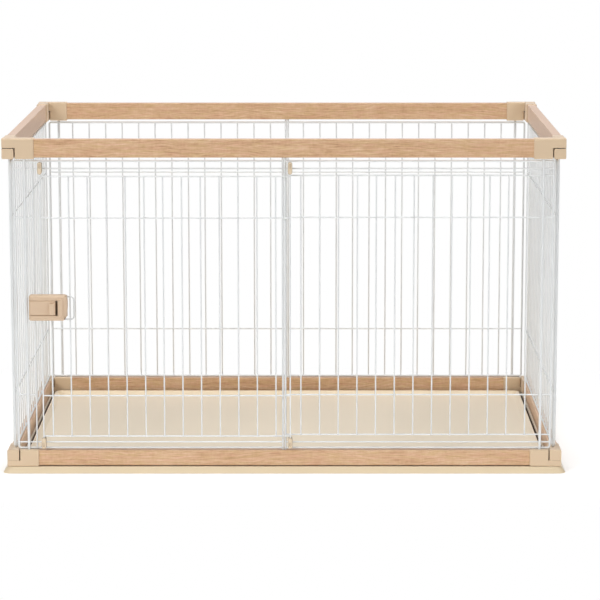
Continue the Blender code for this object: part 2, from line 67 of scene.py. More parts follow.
scene = bpy.context.scene
scene.view_settings.view_transform = "Standard"
scene.view_settings.look = "None"
scene.view_settings.exposure = 0.0
scene.view_settings.gamma = 1.0


# =====================================================================================
# overall sizes
# =====================================================================================
WIDTH, DEPTH, CAP_T = 1250.0, 850.0, 26.0  # the pen in x and y; thickness of a wall at its caps
MID_X, MID_Y = (WIDTH - CAP_T) / 2, (DEPTH - CAP_T) / 2  # a wall's mid plane from the centre
TRAY_HALF_X, TRAY_HALF_Y = 635.0, 435.0
SIDE_SHIFT = -4.0  # the side panels sit a little inside their walls' mid planes

# A wall's own axes: along its length, and out of the pen.
Wall = namedtuple("Wall", "half along_x out_x along_y out_y mid_x mid_y shift")
WALLS = {
    "front": Wall(WIDTH / 2, 1, 0, 0, -1, 0, -MID_Y, 0.0),
    "back": Wall(WIDTH / 2, 1, 0, 0, 1, 0, MID_Y, 0.0),
    "left": Wall(DEPTH / 2, 0, -1, 1, 0, -MID_X, 0, SIDE_SHIFT),
    "right": Wall(DEPTH / 2, 0, 1, 1, 0, MID_X, 0, SIDE_SHIFT),
}
OUT = {side: Vector((plan.out_x, plan.out_y, 0)) for side, plan in WALLS.items()}


# =====================================================================================
# node helpers
# =====================================================================================
class Graph:
    """Short calls for building a node tree."""

    def __init__(self, tree):
        self.tree = tree

    def node(self, kind, **settings):
        made = self.tree.nodes.new(kind)
        for key, value in settings.items():
            setattr(made, key, value)
        return made

    def link(self, source, target):
        self.tree.links.new(source, target)

    def feed(self, socket, value):
        """Links a socket to another, or gives it a number or an RGB colour."""
        if isinstance(value, bpy.types.NodeSocket):
            self.link(value, socket)
        else:
            socket.default_value = (*value, 1.0) if isinstance(value, tuple) else value

    def separate(self, vector):
        split = self.node("ShaderNodeSeparateXYZ")
        self.link(vector, split.inputs[0])
        return split.outputs

    def combine(self, x, y):
        joined = self.node("ShaderNodeCombineXYZ")
        self.link(x, joined.inputs[0])
        self.link(y, joined.inputs[1])
        return joined.outputs[0]

    def math(self, operation, *values, clamp=False):
        made = self.node("ShaderNodeMath", operation=operation, use_clamp=clamp)
        for socket, value in zip(made.inputs, values):
            self.feed(socket, value)
        return made.outputs[0]

    def scaled(self, layer, weight, clamp=False):
        return self.math("MULTIPLY", layer, weight, clamp=clamp)

    def add_scaled(self, total, layer, weight, clamp=False):
        return self.math("ADD", total, self.scaled(layer, weight), clamp=clamp)

    def centred(self, layer):
        return self.math("SUBTRACT", layer, 0.5)

    def above(self, layer, start, gain):
        """What a layer has over start, times gain, held within 0 to 1."""
        return self.scaled(self.math("SUBTRACT", layer, start), gain, clamp=True)

    def mix(self, factor, base, over, blend="MIX"):
        made = self.node("ShaderNodeMix", data_type="RGBA", blend_type=blend)
        # sockets 0, 6 and 7 are the factor and the two colours
        for index, value in ((0, factor), (6, base), (7, over)):
            self.feed(made.inputs[index], value)
        return made.outputs[2]

    def map_range(self, value, start, end, to_start, to_end, interpolation="SMOOTHSTEP"):
        made = self.node("ShaderNodeMapRange", interpolation_type=interpolation)
        limits = {"From Min": start, "From Max": end, "To Min": to_start, "To Max": to_end}
        for key, limit in limits.items():
            made.inputs[key].default_value = limit
        self.link(value, made.inputs["Value"])
        return made.outputs[0]


class Material(Graph):
    """A named material; position is a point in the object's own metres."""

    def __init__(self, name):
        self.material = bpy.data.materials.new(name)
        self.material.use_nodes = True
        super().__init__(self.material.node_tree)
        self.bsdf = self.tree.nodes["Principled BSDF"]
        self.position = self.node("ShaderNodeTexCoord").outputs["Object"]

    def mapped(self, scale, location=(0, 0, 0), source=None):
        mapping = self.node("ShaderNodeMapping")
        mapping.inputs["Scale"].default_value = scale
        mapping.inputs["Location"].default_value = location
        self.link(source or self.position, mapping.inputs["Vector"])
        return mapping.outputs["Vector"]

    def noise(self, vector, scale=1.0, detail=2.0, rough=0.5, distortion=0.0):
        made = self.node("ShaderNodeTexNoise")
        made.inputs["Scale"].default_value = scale
        made.inputs["Detail"].default_value = detail
        made.inputs["Roughness"].default_value = rough
        made.inputs["Distortion"].default_value = distortion
        self.link(vector, made.inputs["Vector"])
        return made.outputs["Fac"]

    def ramp(self, factor, stops):
        made = self.node("ShaderNodeValToRGB")
        elements = made.color_ramp.elements
        while len(elements) < len(stops):
            elements.new(0.5)
        for element, (position, colour) in zip(elements, stops):
            element.position = position
            element.color = (*colour, 1.0)
        self.link(factor, made.inputs["Fac"])
        return made.outputs["Color"]

    def low_spots(self, layer, full, none):
        """1 where a layer is under full, fading to 0 at none."""
        return self.ramp(layer, [(full, (1, 1, 1)), (none, (0, 0, 0))])

    def facing(self):
        """0 seen square on, 1 seen edge-on."""
        return self.node_with("ShaderNodeLayerWeight", "Blend", 0.5).outputs["Facing"]

    def node_with(self, kind, socket, value, **settings):
        made = self.node(kind, **settings)
        made.inputs[socket].default_value = value
        return made

    def grazing(self, low, high, most):
        """0 seen square on, rising to most seen edge-on: the weight of a painted sheen."""
        return self.map_range(self.facing(), low, high, 0.0, most)

    def crease(self, distance, low, high, most):
        """0 in the open, rising to most in a groove or against a neighbour: the weight of painted
        shade; distance in metres.
        """
        open_sky = self.node_with("ShaderNodeAmbientOcclusion", "Distance", distance, samples=6)
        return self.map_range(open_sky.outputs["AO"], low, high, most, 0.0)

    def indoors(self, half_x, half_y, floor=-1.0):
        """1 within half_x and half_y of the centre and above floor (metres), 0 elsewhere."""
        x, y, z = self.separate(self.position)
        within_x = self.math("LESS_THAN", self.math("ABSOLUTE", x), half_x)
        within_y = self.math("LESS_THAN", self.math("ABSOLUTE", y), half_y)
        over_floor = self.math("GREATER_THAN", z, floor)
        return self.math("MULTIPLY", self.math("MULTIPLY", within_x, within_y), over_floor)

    def dull(self, mask, coat, specular):
        """Takes the sheen away where mask is high."""
        clear = self.math("SUBTRACT", 1.0, mask)
        self.link(self.scaled(clear, coat), self.bsdf.inputs["Coat Weight"])
        self.link(self.scaled(clear, specular), self.bsdf.inputs["Specular IOR Level"])

    def bump(self, height, strength, distance):
        """distance is in metres."""
        made = self.node("ShaderNodeBump")
        made.inputs["Strength"].default_value = strength
        made.inputs["Distance"].default_value = distance
        self.link(height, made.inputs["Height"])
        return made.outputs["Normal"]

    def finish(self, colour, rough, normal=None, metallic=0.0, **other):
        self.feed(self.bsdf.inputs["Base Color"], colour)
        self.feed(self.bsdf.inputs["Roughness"], rough)
        if normal is not None:
            self.link(normal, self.bsdf.inputs["Normal"])
        self.bsdf.inputs["Metallic"].default_value = metallic
        for key, value in other.items():
            self.bsdf.inputs[key.replace("_", " ")].default_value = value
        return self.material


def srgb(red, green, blue):
    """sRGB 0-255 to linear."""
    def linear(level):
        level /= 255.0
        return level / 12.92 if level <= 0.04045 else ((level + 0.055) / 1.055) ** 2.4
    return (linear(red), linear(green), linear(blue))


def dimmed(colour, factor):
    return tuple(channel * factor for channel in colour)


# =====================================================================================
# materials
# =====================================================================================
WOOD_DARK = (178, 136, 99)
WOOD_MID = (203, 163, 126)
WOOD_LIGHT = (216, 180, 144)
WOOD_PALE = (229, 200, 168)
WOOD_PORE = (168, 124, 86)
# painted sheen laid over faces seen edge-on
WOOD_SHEEN_PAINT = (240, 215, 199)
# painted shade in grooves and against neighbouring parts
WOOD_SHADE = (74, 48, 30)
# place of each grain colour on the 0-1 tone scale
WOOD_STOPS = [(0.33, srgb(*WOOD_DARK)), (0.45, srgb(*WOOD_MID)),
              (0.55, srgb(*WOOD_LIGHT)), (0.68, srgb(*WOOD_PALE))]
# linear multipliers that drift the grain between pink, neutral and yellow
WOOD_TINTS = [(0.36, (1.0, 0.935, 0.955)), (0.5, (1.0, 0.99, 0.98)), (0.64, (0.985, 1.0, 0.91))]
WOOD_COAT = 0.3
WOOD_SPECULAR = 0.42
SEED_ALONG, SEED_ACROSS = 1.713, 0.291  # metres the grain moves per unit of seed
UPPER_RAIL_Z = 0.4  # metres; only the upper rails lie above it


def wood_material(name, axis, seed):
    """Light oak film: fibre streaks, soft bands, short dark pores and faint cross flecks."""
    mat = Material(name)
    x, y, z = mat.separate(mat.position)
    along, side = (x, y) if axis == "X" else (y, x)
    across = mat.add_scaled(z, side, weight=0.83)
    along = mat.math("ADD", along, seed * SEED_ALONG)
    across = mat.math("ADD", across, seed * SEED_ACROSS)
    grain = mat.combine(along, across)
    # slow wander of the grain lines
    wander = mat.noise(mat.mapped(scale=(3.2, 9.0, 1.0), source=grain))
    wavy = mat.add_scaled(mat.scaled(across, weight=330.0), wander, weight=15.0)

    def stretched(along_scale, across_scale, **look):
        """Noise drawn out along the wandering grain."""
        lengthwise = mat.scaled(along, along_scale)
        return mat.noise(mat.combine(lengthwise, mat.scaled(wavy, across_scale)), **look)

    bands = mat.noise(mat.combine(mat.scaled(along, weight=5.0), wavy),
                      scale=0.55, detail=3.0, rough=0.62, distortion=0.3)
    fibres = stretched(along_scale=16.0, across_scale=3.6, detail=4.0, rough=0.7)
    pores = stretched(along_scale=75.0, across_scale=5.5, detail=1.0)
    streaks = stretched(along_scale=34.0, across_scale=1.15, rough=0.6, distortion=0.15)
    flecks = mat.noise(mat.mapped(scale=(210.0, 60.0, 1.0), source=grain), rough=0.6)
    patches = mat.noise(mat.mapped(scale=(7.0, 30.0, 1.0), source=grain), detail=1.0)
    hue = mat.noise(mat.mapped(scale=(22.0, 150.0, 1.0), location=(seed, 3.1, 0.0), source=grain),
                    rough=0.55)

    tone = mat.add_scaled(mat.scaled(bands, weight=0.26), fibres, weight=0.26)
    tone = mat.add_scaled(tone, streaks, weight=0.48)
    tone = mat.add_scaled(tone, mat.centred(flecks), weight=0.12)
    tone = mat.add_scaled(tone, mat.centred(patches), weight=0.18)
    colour = mat.ramp(tone, WOOD_STOPS)
    colour = mat.mix(1.0, colour, mat.ramp(hue, WOOD_TINTS), "MULTIPLY")
    pore_mask = mat.low_spots(pores, full=0.26, none=0.36)
    colour = mat.mix(mat.scaled(pore_mask, weight=0.55), colour, srgb(*WOOD_PORE))

    # painted sheen: the wood turns pale pink on faces seen edge-on, most on level faces and on the
    # upper rails
    normal_z = mat.separate(mat.node("ShaderNodeNewGeometry").outputs["Normal"])[2]
    level_gain, least = 0.62, 0.38
    sheen_weight = mat.math("MULTIPLY_ADD", mat.math("ABSOLUTE", normal_z), level_gain, least)
    is_upper = mat.math("GREATER_THAN", z, UPPER_RAIL_Z)
    sheen_weight = mat.add_scaled(sheen_weight, is_upper, weight=0.44, clamp=True)
    painted_sheen = mat.math("MULTIPLY", mat.grazing(low=0.62, high=0.93, most=0.85), sheen_weight)
    colour = mat.mix(painted_sheen, colour, srgb(*WOOD_SHEEN_PAINT))
    # painted shade: darker in grooves and against neighbouring parts inside the pen, with the coat
    # and gloss taken away there
    shade = mat.math("MULTIPLY", mat.crease(distance=0.012, low=0.15, high=0.55, most=0.8),
                     mat.indoors(half_x=0.6, half_y=0.4))
    colour = mat.mix(shade, colour, srgb(*WOOD_SHADE))
    mat.dull(shade, WOOD_COAT, WOOD_SPECULAR)

    rough = mat.add_scaled(0.46, fibres, weight=0.16)
    height = mat.math("SUBTRACT", mat.scaled(fibres, weight=0.5), pore_mask)
    return mat.finish(colour, rough, mat.bump(height, strength=0.35, distance=0.00012),
                      Specular_IOR_Level=WOOD_SPECULAR, Coat_Weight=WOOD_COAT,
                      Coat_Roughness=0.24, Coat_IOR=1.5)


PLASTIC_SPECULAR = 0.46


def plastic_material(name, colour, rough, bump, grit, tint=0.045, seed=0.0, coat=0.0, rim=0.0,
                     painted_sheen=None, painted_sheen_colour=None, crease=None, crease_shade_colour=None, room=None):
    """Moulded plastic: satin grained skin, slow colour drift and faint flow streaks.

    grit is the grain's scale and tint the drift's reach; rim paints shade on faces seen edge-on,
    darkening them.
    haze, crease and room are the arguments of grazing, crease and indoors: grazing paints a sheen
    on faces seen edge-on and crease paints shade in grooves and against neighbours.
    """
    mat = Material(name)
    drift = mat.noise(mat.mapped(scale=(1, 1, 1), location=(seed, seed, seed)), scale=9.0)
    streak = mat.noise(mat.mapped(scale=(40.0, 40.0, 260.0)), scale=0.35, rough=0.6)
    skin = mat.noise(mat.position, scale=grit, detail=3.0, rough=0.65)
    cells = mat.node_with("ShaderNodeTexVoronoi", "Scale", grit * 0.8)
    mat.link(mat.position, cells.inputs["Vector"])

    plain = srgb(*colour)
    light = tuple(min(1.0, channel * (1 + tint)) for channel in plain)
    base = mat.mix(drift, dimmed(plain, 1 - tint), light)
    base = mat.mix(mat.above(streak, start=0.35, gain=0.10), base, dimmed(plain, 0.9))
    speck = mat.low_spots(skin, full=0.22, none=0.30)
    base = mat.mix(mat.scaled(speck, weight=0.10), base, dimmed(plain, 0.8))
    # painted sheen: paler on faces seen edge-on
    if painted_sheen:
        base = mat.mix(mat.grazing(**painted_sheen), base, srgb(*painted_sheen_colour))
    # painted shade: darker on faces seen edge-on
    if rim:
        base = mat.mix(mat.scaled(mat.facing(), rim, clamp=True), base, dimmed(plain, 0.42))
    # painted shade in grooves and against neighbours, inside room only, with the coat and gloss
    # taken away there
    if crease:
        shade = mat.math("MULTIPLY", mat.crease(**crease), mat.indoors(**room))
        base = mat.mix(shade, base, srgb(*crease_shade_colour))
        mat.dull(shade, coat, PLASTIC_SPECULAR)

    height = mat.add_scaled(mat.scaled(skin, weight=0.7), cells.outputs["Distance"], weight=0.3)
    rough = mat.add_scaled(rough - 0.06, skin, weight=0.14)
    return mat.finish(base, rough, mat.bump(height, strength=bump, distance=0.00008),
                      Specular_IOR_Level=PLASTIC_SPECULAR, Coat_Weight=coat, Coat_Roughness=0.28)


WIRE_LOW = (225, 227, 228)
WIRE_HIGH = (236, 238, 238)
WIRE_COOL = (213, 217, 220)


def wire_material(name):
    """White powder coat: fine orange peel, with slightly cooler lines drawn along z."""
    mat = Material(name)
    peel = mat.noise(mat.position, scale=620.0, detail=3.0, rough=0.55)
    drawn = mat.noise(mat.mapped(scale=(500.0, 500.0, 9.0)), rough=0.6)
    drift = mat.noise(mat.position, scale=14.0)
    base = mat.mix(drift, srgb(*WIRE_LOW), srgb(*WIRE_HIGH))
    base = mat.mix(mat.above(drawn, start=0.4, gain=0.25), base, srgb(*WIRE_COOL))
    rough = mat.add_scaled(0.22, peel, weight=0.16)
    return mat.finish(base, rough, mat.bump(peel, strength=0.30, distance=0.00010),
                      Specular_IOR_Level=0.35, Coat_Weight=0.08, Coat_Roughness=0.15)


STEEL_DARK, STEEL_LIGHT = (0.50, 0.51, 0.53), (0.68, 0.68, 0.68)  # linear


def steel_material(name):
    """Zinc plate with fine lines and a cloudy tone."""
    mat = Material(name)
    lines = mat.noise(mat.mapped(scale=(30.0, 30.0, 900.0)), detail=3.0, rough=0.6)
    cloud = mat.noise(mat.position, scale=160.0)
    base = mat.mix(cloud, STEEL_DARK, STEEL_LIGHT)
    rough = mat.add_scaled(0.20, lines, weight=0.25)
    return mat.finish(base, rough, mat.bump(lines, strength=0.25, distance=0.00004), metallic=1.0)


# caps: painted sheen on faces seen edge-on and painted shade in their creases
PLASTIC = plastic_material(
    "beige_plastic_satin", (216, 191, 160), rough=0.46, bump=0.35, grit=1500.0, coat=0.2,
    painted_sheen=dict(low=0.60, high=0.93, most=0.8), painted_sheen_colour=(244, 224, 204),
    crease=dict(distance=0.004, low=0.12, high=0.5, most=0.8), crease_shade_colour=(66, 46, 30),
    room=dict(half_x=0.7, half_y=0.5, floor=0.017))
PLASTIC_LATCH = plastic_material(
    "beige_plastic_latch", (214, 187, 159), rough=0.38, bump=0.22, grit=2100.0, seed=3.0)
# runners: painted shade on faces seen edge-on
RUNNER = plastic_material(
    "runner_plastic_slick", (226, 206, 178), rough=0.32, bump=0.18, grit=2400.0, seed=5.0, rim=0.9)
# tray: painted sheen on faces seen edge-on and painted shade in its groove and against the rails
CREAM = plastic_material(
    "cream_tray_plastic", (229, 210, 178), rough=0.42, bump=0.30, grit=900.0, tint=0.025,
    seed=7.0, coat=0.2,
    painted_sheen=dict(low=0.60, high=0.86, most=0.75), painted_sheen_colour=(246, 237, 223),
    crease=dict(distance=0.014, low=0.30, high=0.62, most=0.94), crease_shade_colour=(58, 38, 24),
    room=dict(half_x=0.6, half_y=0.4))
WIRE = wire_material("white_powder_coat")
STEEL = steel_material("zinc_plate")


# =====================================================================================
# mesh helpers
# =====================================================================================
def metres(x, y, z):
    return Vector((x, y, z)) * MILLI


def box_of(node):
    """The mm corners of a CAD node's box."""
    low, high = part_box(node)
    return low * 1000, high * 1000


def circle(sides):
    """Points round a unit circle."""
    return [(math.cos(2 * math.pi * i / sides), math.sin(2 * math.pi * i / sides))
            for i in range(sides)]


def shade(mesh, smooth_angle):
    mesh.shade_smooth()
    mesh.set_sharp_from_angle(angle=math.radians(smooth_angle))


def mesh_object(build, name, smooth_angle=None):
    """Turns a bmesh into an object, flat shaded unless smooth_angle is given."""
    bmesh.ops.recalc_face_normals(build, faces=build.faces)
    mesh = bpy.data.meshes.new(name)
    build.to_mesh(mesh)
    build.free()
    obj = bpy.data.objects.new(name, mesh)
    scene.collection.objects.link(obj)
    if smooth_angle:
        shade(mesh, smooth_angle)
    return obj


def apply_modifiers(obj, smooth_angle=None):
    """Bakes the modifiers into the mesh."""
    bpy.context.view_layer.update()
    graph = bpy.context.evaluated_depsgraph_get()
    mesh = bpy.data.meshes.new_from_object(obj.evaluated_get(graph))
    obj.modifiers.clear()
    obj.data = mesh
    if smooth_angle:
        shade(mesh, smooth_angle)
    return obj


def finish_piece(obj, node, material, across=None):
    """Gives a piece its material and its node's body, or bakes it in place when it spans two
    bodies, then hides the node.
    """
    if obj.data.materials:
        obj.data.materials.clear()
    obj.data.materials.append(material)
    for polygon in obj.data.polygons:
        polygon.material_index = 0
    if material not in (WIRE, STEEL):
        # flat faces keep flat shading beside their rounded edges
        weighted = obj.modifiers.new("face_weighted", "WEIGHTED_NORMAL")
        weighted.keep_sharp = True
        weighted.weight = 100
        apply_modifiers(obj)
    if across:
        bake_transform(obj)
    else:
        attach(obj, NODE_BODY[node])
    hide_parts(node)


def cube(low, high):
    """A bmesh box between two mm corners."""
    low, high = Vector(low), Vector(high)
    place = Matrix.Translation((low + high) / 2 * MILLI)
    build = bmesh.new()
    bmesh.ops.create_cube(build, size=1.0,
                          matrix=place @ Matrix.Diagonal((*((high - low) * MILLI), 1)))
    return build


def rounded_box(name, low, high, radius=0.0, segments=3, along=None):
    """A box whose edges are rounded: all of them, or only those running along one axis."""
    build = cube(low, high)
    edges = list(build.edges)
    if along:
        axis = "XYZ".index(along)
        edges = [edge for edge in edges
                 if abs(edge.verts[0].co[axis] - edge.verts[1].co[axis]) * 1000 > 1]
    if radius:
        bmesh.ops.bevel(build, geom=edges, offset=radius * MILLI, segments=segments, profile=0.5,
                        affect="EDGES", clamp_overlap=True)
    return mesh_object(build, name)


def weighted_box(name, low, high, radius_of, segments=5):
    """A box rounded edge by edge; radius_of takes an edge's two mm end points."""
    build = cube(low, high)
    layer = build.edges.layers.float.new("bevel_weight_edge")
    radii = [radius_of([vert.co * 1000 for vert in edge.verts]) for edge in build.edges]
    most = max(radii)
    for edge, radius in zip(build.edges, radii):
        edge[layer] = radius / most
    obj = mesh_object(build, name)
    bevel = obj.modifiers.new("round", "BEVEL")
    bevel.width = most * MILLI
    bevel.segments = segments
    bevel.limit_method = "WEIGHT"
    bevel.offset_type = "OFFSET"
    bevel.use_clamp_overlap = False
    return apply_modifiers(obj)


def boolean(obj, tools, operation, angle):
    """Cuts or joins each tool, then removes the tools."""
    for tool in tools:
        step = obj.modifiers.new("b", "BOOLEAN")
        step.operation = operation
        step.object = tool
        step.solver = "EXACT"
    apply_modifiers(obj, angle)
    for tool in tools:
        bpy.data.objects.remove(tool, do_unlink=True)


def cut(obj, tools, angle=32):
    boolean(obj, tools, "DIFFERENCE", angle)


def join(obj, tools, angle=32):
    boolean(obj, tools, "UNION", angle)


def cylinder(name, centre, radius, length, axis="Z", sides=24):
    turn = Matrix.Rotation(math.pi / 2, 4, "X") if axis == "Y" else Matrix()
    build = bmesh.new()
    bmesh.ops.create_cone(build, cap_ends=True, segments=sides, radius1=radius * MILLI,
                          radius2=radius * MILLI, depth=length * MILLI,
                          matrix=Matrix.Translation(Vector(centre) * MILLI) @ turn)
    return mesh_object(build, name)


def skin(build, rings, closed=False):
    """Quads from ring to ring, then end caps or a closing strip."""
    pairs = list(zip(rings, rings[1:]))
    if closed:
        pairs.append((rings[-1], rings[0]))
    count = len(rings[0])
    for near, far in pairs:
        for i in range(count):
            j = (i + 1) % count
            build.faces.new((near[i], near[j], far[j], far[i]))
    if not closed:
        build.faces.new(rings[0])
        build.faces.new(rings[-1])


def loft_y(name, outline_at, levels):
    """A body through (y, size) levels; outline_at(size) gives each level's (x, z) points."""
    build = bmesh.new()
    skin(build, [[build.verts.new(metres(x, y, z)) for x, z in outline_at(size)]
                 for y, size in levels])
    return mesh_object(build, name)


def stadium(name, centre_x, centre_z, width, height, rear_and_front, edge):
    """An upright oval block between two y values, its rims rounded by edge."""
    half, sides, steps = width / 2, 10, 4
    outline = []
    for start, arc_z in ((0, centre_z + height / 2 - half), (180, centre_z - height / 2 + half)):
        for i in range(sides + 1):
            angle = math.radians(start + 180.0 * i / sides)
            outline.append((math.cos(angle), math.sin(angle), arc_z))
    rim = []
    for i in range(steps + 1):
        angle = math.pi / 2 * i / steps
        rim.append((edge * (1 - math.sin(angle)), edge * (1 - math.cos(angle))))
    y_low, y_high = rear_and_front
    levels = [(y_low + depth, inset) for depth, inset in reversed(rim)]
    levels += [(y_high - depth, inset) for depth, inset in rim]

    def outline_at(inset):
        return [(centre_x + (half - inset) * cosine, arc_z + (half - inset) * sine)
                for cosine, sine, arc_z in outline]

    return loft_y(name, outline_at, levels)


def round_rim(obj, beyond_y, radius):
    """Rounds the outline of the face that lies past beyond_y."""
    build = bmesh.new()
    build.from_mesh(obj.data)
    rims = []
    for edge in build.edges:
        start, end = (vert.co.y for vert in edge.verts)
        if (abs(start - end) < 1e-6 and start > beyond_y * MILLI and len(edge.link_faces) == 2
                and any(abs(face.normal.y) < 0.5 for face in edge.link_faces)):
            rims.append(edge)
    bmesh.ops.bevel(build, geom=rims, offset=radius * MILLI, segments=3, profile=0.5,
                    affect="EDGES")
    build.to_mesh(obj.data)
    build.free()


def turned_pin(node, x, y, profile, sides):
    """A steel pin turned about z from (radius, z) stations."""
    build = bmesh.new()
    skin(build, [[build.verts.new(metres(x + radius * cosine, y + radius * sine, z))
                  for cosine, sine in circle(sides)] for radius, z in profile])
    finish_piece(mesh_object(build, node + "_turned", 35), node, STEEL)


# domed wire end: distance in from the tip and ring radius, as parts of the wire's radius
DOME = ((0.0, 0.72), (0.16, 0.93), (0.42, 1.0))


def sweep(build, points, radius, normal, sides=12, closed=False):
    """A round wire along points (metres) in a plane with the given normal; open ends are domed."""
    normal = Vector(normal).normalized()
    radius *= MILLI
    last = len(points) - 1
    rings = []
    for i, point in enumerate(points):
        stations, inward = ((0.0, 1.0),), radius
        if closed:
            tangent = (points[(i + 1) % len(points)] - points[i - 1]).normalized()
        elif i == 0:
            tangent = (points[1] - points[0]).normalized()
            stations = DOME
        elif i == last:
            tangent = (points[-1] - points[-2]).normalized()
            stations, inward = DOME[::-1], -radius
        else:
            ahead = (points[i + 1] - point).normalized()
            tangent = (ahead + (point - points[i - 1]).normalized()).normalized()
        across = tangent.cross(normal).normalized()
        for offset, size in stations:
            centre = point + tangent * inward * offset
            rings.append([build.verts.new(centre + (normal * cosine + across * sine)
                                          * (radius * size)) for cosine, sine in circle(sides)])
    skin(build, rings, closed)


def weld_bead(build, centre, out, size, depth):
    """The small flattened bead where two crossing wires are fused."""
    up = Vector((0, 0, 1))
    basis = Matrix((up.cross(out).normalized(), out, up)).transposed().to_4x4()
    shape = Matrix.Diagonal((size * MILLI, depth * MILLI, size * MILLI, 1))
    bmesh.ops.create_uvsphere(build, u_segments=10, v_segments=6, radius=1.0,
                              matrix=Matrix.Translation(centre) @ basis @ shape)


def round_corners(points, radius, closed=False, steps=7):
    """Replaces the corners of a 2-D polyline with arcs."""
    points = [Vector(point) for point in points]
    count = len(points)
    rounded = []
    for i, corner in enumerate(points):
        if not closed and i in (0, count - 1):
            rounded.append(corner)
            continue
        before, after = points[i - 1] - corner, points[(i + 1) % count] - corner
        back, ahead = before.normalized(), after.normalized()
        reach = min(radius, before.length / 2, after.length / 2)
        start, end = corner + back * reach, corner + ahead * reach
        centre = corner + (back + ahead) * reach
        for k in range(steps + 1):
            angle = math.pi / 2 * k / steps
            rounded.append(centre + (start - centre) * math.cos(angle)
                           + (end - centre) * math.sin(angle))
    return rounded


def wall(side, along, out, z):
    """The point (metres) at mm distances along and out from a wall's centre."""
    plan = WALLS[side]
    return metres(plan.mid_x + plan.along_x * along + plan.out_x * out,
                  plan.mid_y + plan.along_y * along + plan.out_y * out, z)


# =====================================================================================
# wire panels
# =====================================================================================
FRAME_TOP, FRAME_LOW = 705.5, 54.5
GUIDE_TOP, GUIDE_LOW = 688.8, 68.0  # cross wires the door's clips slide on
GRID_TOP, GRID_LOW = 673.3, 85.1  # ends of the fixed front grid
MID_HIGH, MID_LOW = 579.4, 176.8
UPRIGHT_R, CROSS_R, FRAME_R, PEG_R = 1.6, 1.7, 2.3, 3.0
UPRIGHT_OUT, CROSS_OUT, PEG_OUT = 3.1, 0.5, 4.5  # distance out from the frame wire's plane
OVERHANG, CROSS_OVERHANG = 1.6, 1.4  # wire past the last wire it crosses
FULL_Z = (FRAME_LOW - OVERHANG, FRAME_TOP + OVERHANG)
GRID_Z = (GRID_LOW - OVERHANG, GRID_TOP + OVERHANG)
POST_Z, PEG_Z = (42.5, 722.0), (37.3, 725.5)
FRAME_IN, PEG_IN = 26.0, 49.0  # frame wire and peg, in from the wall's end
CENTRE_X = 2.8  # half the gap between the two half panels of a long wall
CORNER_R = 5.0
PITCH = 41.6
JAMB_X = -557.7
FIXED_X = [37.3 + 42.0 * k for k in range(13)]
CROSS_BEAD = (2.05, 1.0)  # radius and half depth of a bead between thin wires


def spans(start, end, value, slack=2):
    return min(start, end) - slack <= value <= max(start, end) + slack


def panel(node, side, path, crosses, uprights, pegs, posts=(), closed=False, upright_z=FULL_Z):
    """A welded panel: path is the rounded frame wire as (along, z) and crosses are
    (start, end, z); uprights, pegs and posts are distances along the wall."""
    build = bmesh.new()

    def place(along, out, z):
        return wall(side, along, out + WALLS[side].shift, z)

    def straight(start, end, out, radius, sides=12):
        sweep(build, [place(start[0], out, start[1]), place(end[0], out, end[1])], radius,
              OUT[side], sides)

    def upright(along, heights, out, radius, sides=12):
        straight((along, heights[0]), (along, heights[1]), out, radius, sides)

    def bead(along, out, z, size, depth):
        weld_bead(build, place(along, out, z), OUT[side], size, depth)

    sweep(build, [place(along, 0, z) for along, z in path], FRAME_R, OUT[side], 16, closed)
    for along in posts:
        upright(along, POST_Z, 0, FRAME_R, 16)
    for start, end, z in crosses:
        straight((start, z), (end, z), CROSS_OUT, CROSS_R)
    for along in uprights:
        upright(along, upright_z, UPRIGHT_OUT, UPRIGHT_R)
    for along in pegs:
        upright(along, PEG_Z, PEG_OUT, PEG_R, 18)

    # each kind of upright is welded to the cross wires, then to the frame wire
    for along in uprights:
        for start, end, z in crosses:
            if spans(start, end, along) and spans(*upright_z, z):
                bead(along, (UPRIGHT_OUT + CROSS_OUT) / 2, z, *CROSS_BEAD)
        for z in (FRAME_LOW, FRAME_TOP):
            if spans(*upright_z, z):
                bead(along, (UPRIGHT_OUT + FRAME_R) / 2 - 0.35, z, 2.15, 1.05)
    for along in pegs:
        for start, end, z in crosses:
            if spans(start, end, along):
                bead(along, 1.85, z, 2.5, 1.1)
        for z in (FRAME_LOW, FRAME_TOP):
            bead(along, 1.9, z, 2.8, 1.2)
    for along in posts:
        for start, end, z in crosses:
            if min(abs(start - along), abs(end - along)) < 4:
                bead(along, 0.4, z, 2.75, 2.5)
        for z in (FRAME_LOW, FRAME_TOP):
            bead(along, 0, z, 2.9, 2.6)
    finish_piece(mesh_object(build, node + "_wires", 50), node, WIRE)


def half_frame(side, end):
    """The C-shaped frame wire of a half panel, and where its outer and inner ends lie."""
    outer, inner = end * (WALLS[side].half - FRAME_IN), end * CENTRE_X
    corners = [(inner, FRAME_TOP), (outer, FRAME_TOP), (outer, FRAME_LOW), (inner, FRAME_LOW)]
    return round_corners(corners, CORNER_R), outer, inner


def back_panels():
    for end, word in ((-1, "left"), (1, "right")):
        path, outer, inner = half_frame("back", end)
        panel("wire_panel_back_" + word, "back", path,
              crosses=[(inner, outer, z) for z in (MID_LOW, MID_HIGH)],
              uprights=[end * k * PITCH for k in range(1, 14)],
              pegs=[end * (WALLS["back"].half - PEG_IN)], posts=[inner])


def side_panels():
    for side in ("left", "right"):
        half = WALLS[side].half
        outer = half - FRAME_IN
        corners = [(-outer, FRAME_LOW), (outer, FRAME_LOW), (outer, FRAME_TOP), (-outer, FRAME_TOP)]
        panel("wire_panel_" + side, side, round_corners(corners, CORNER_R, closed=True),
              crosses=[(-outer, outer, z) for z in (MID_LOW, MID_HIGH)],
              uprights=[k * PITCH for k in range(-8, 9)],
              pegs=[end * (half - PEG_IN) for end in (-1, 1)], closed=True)


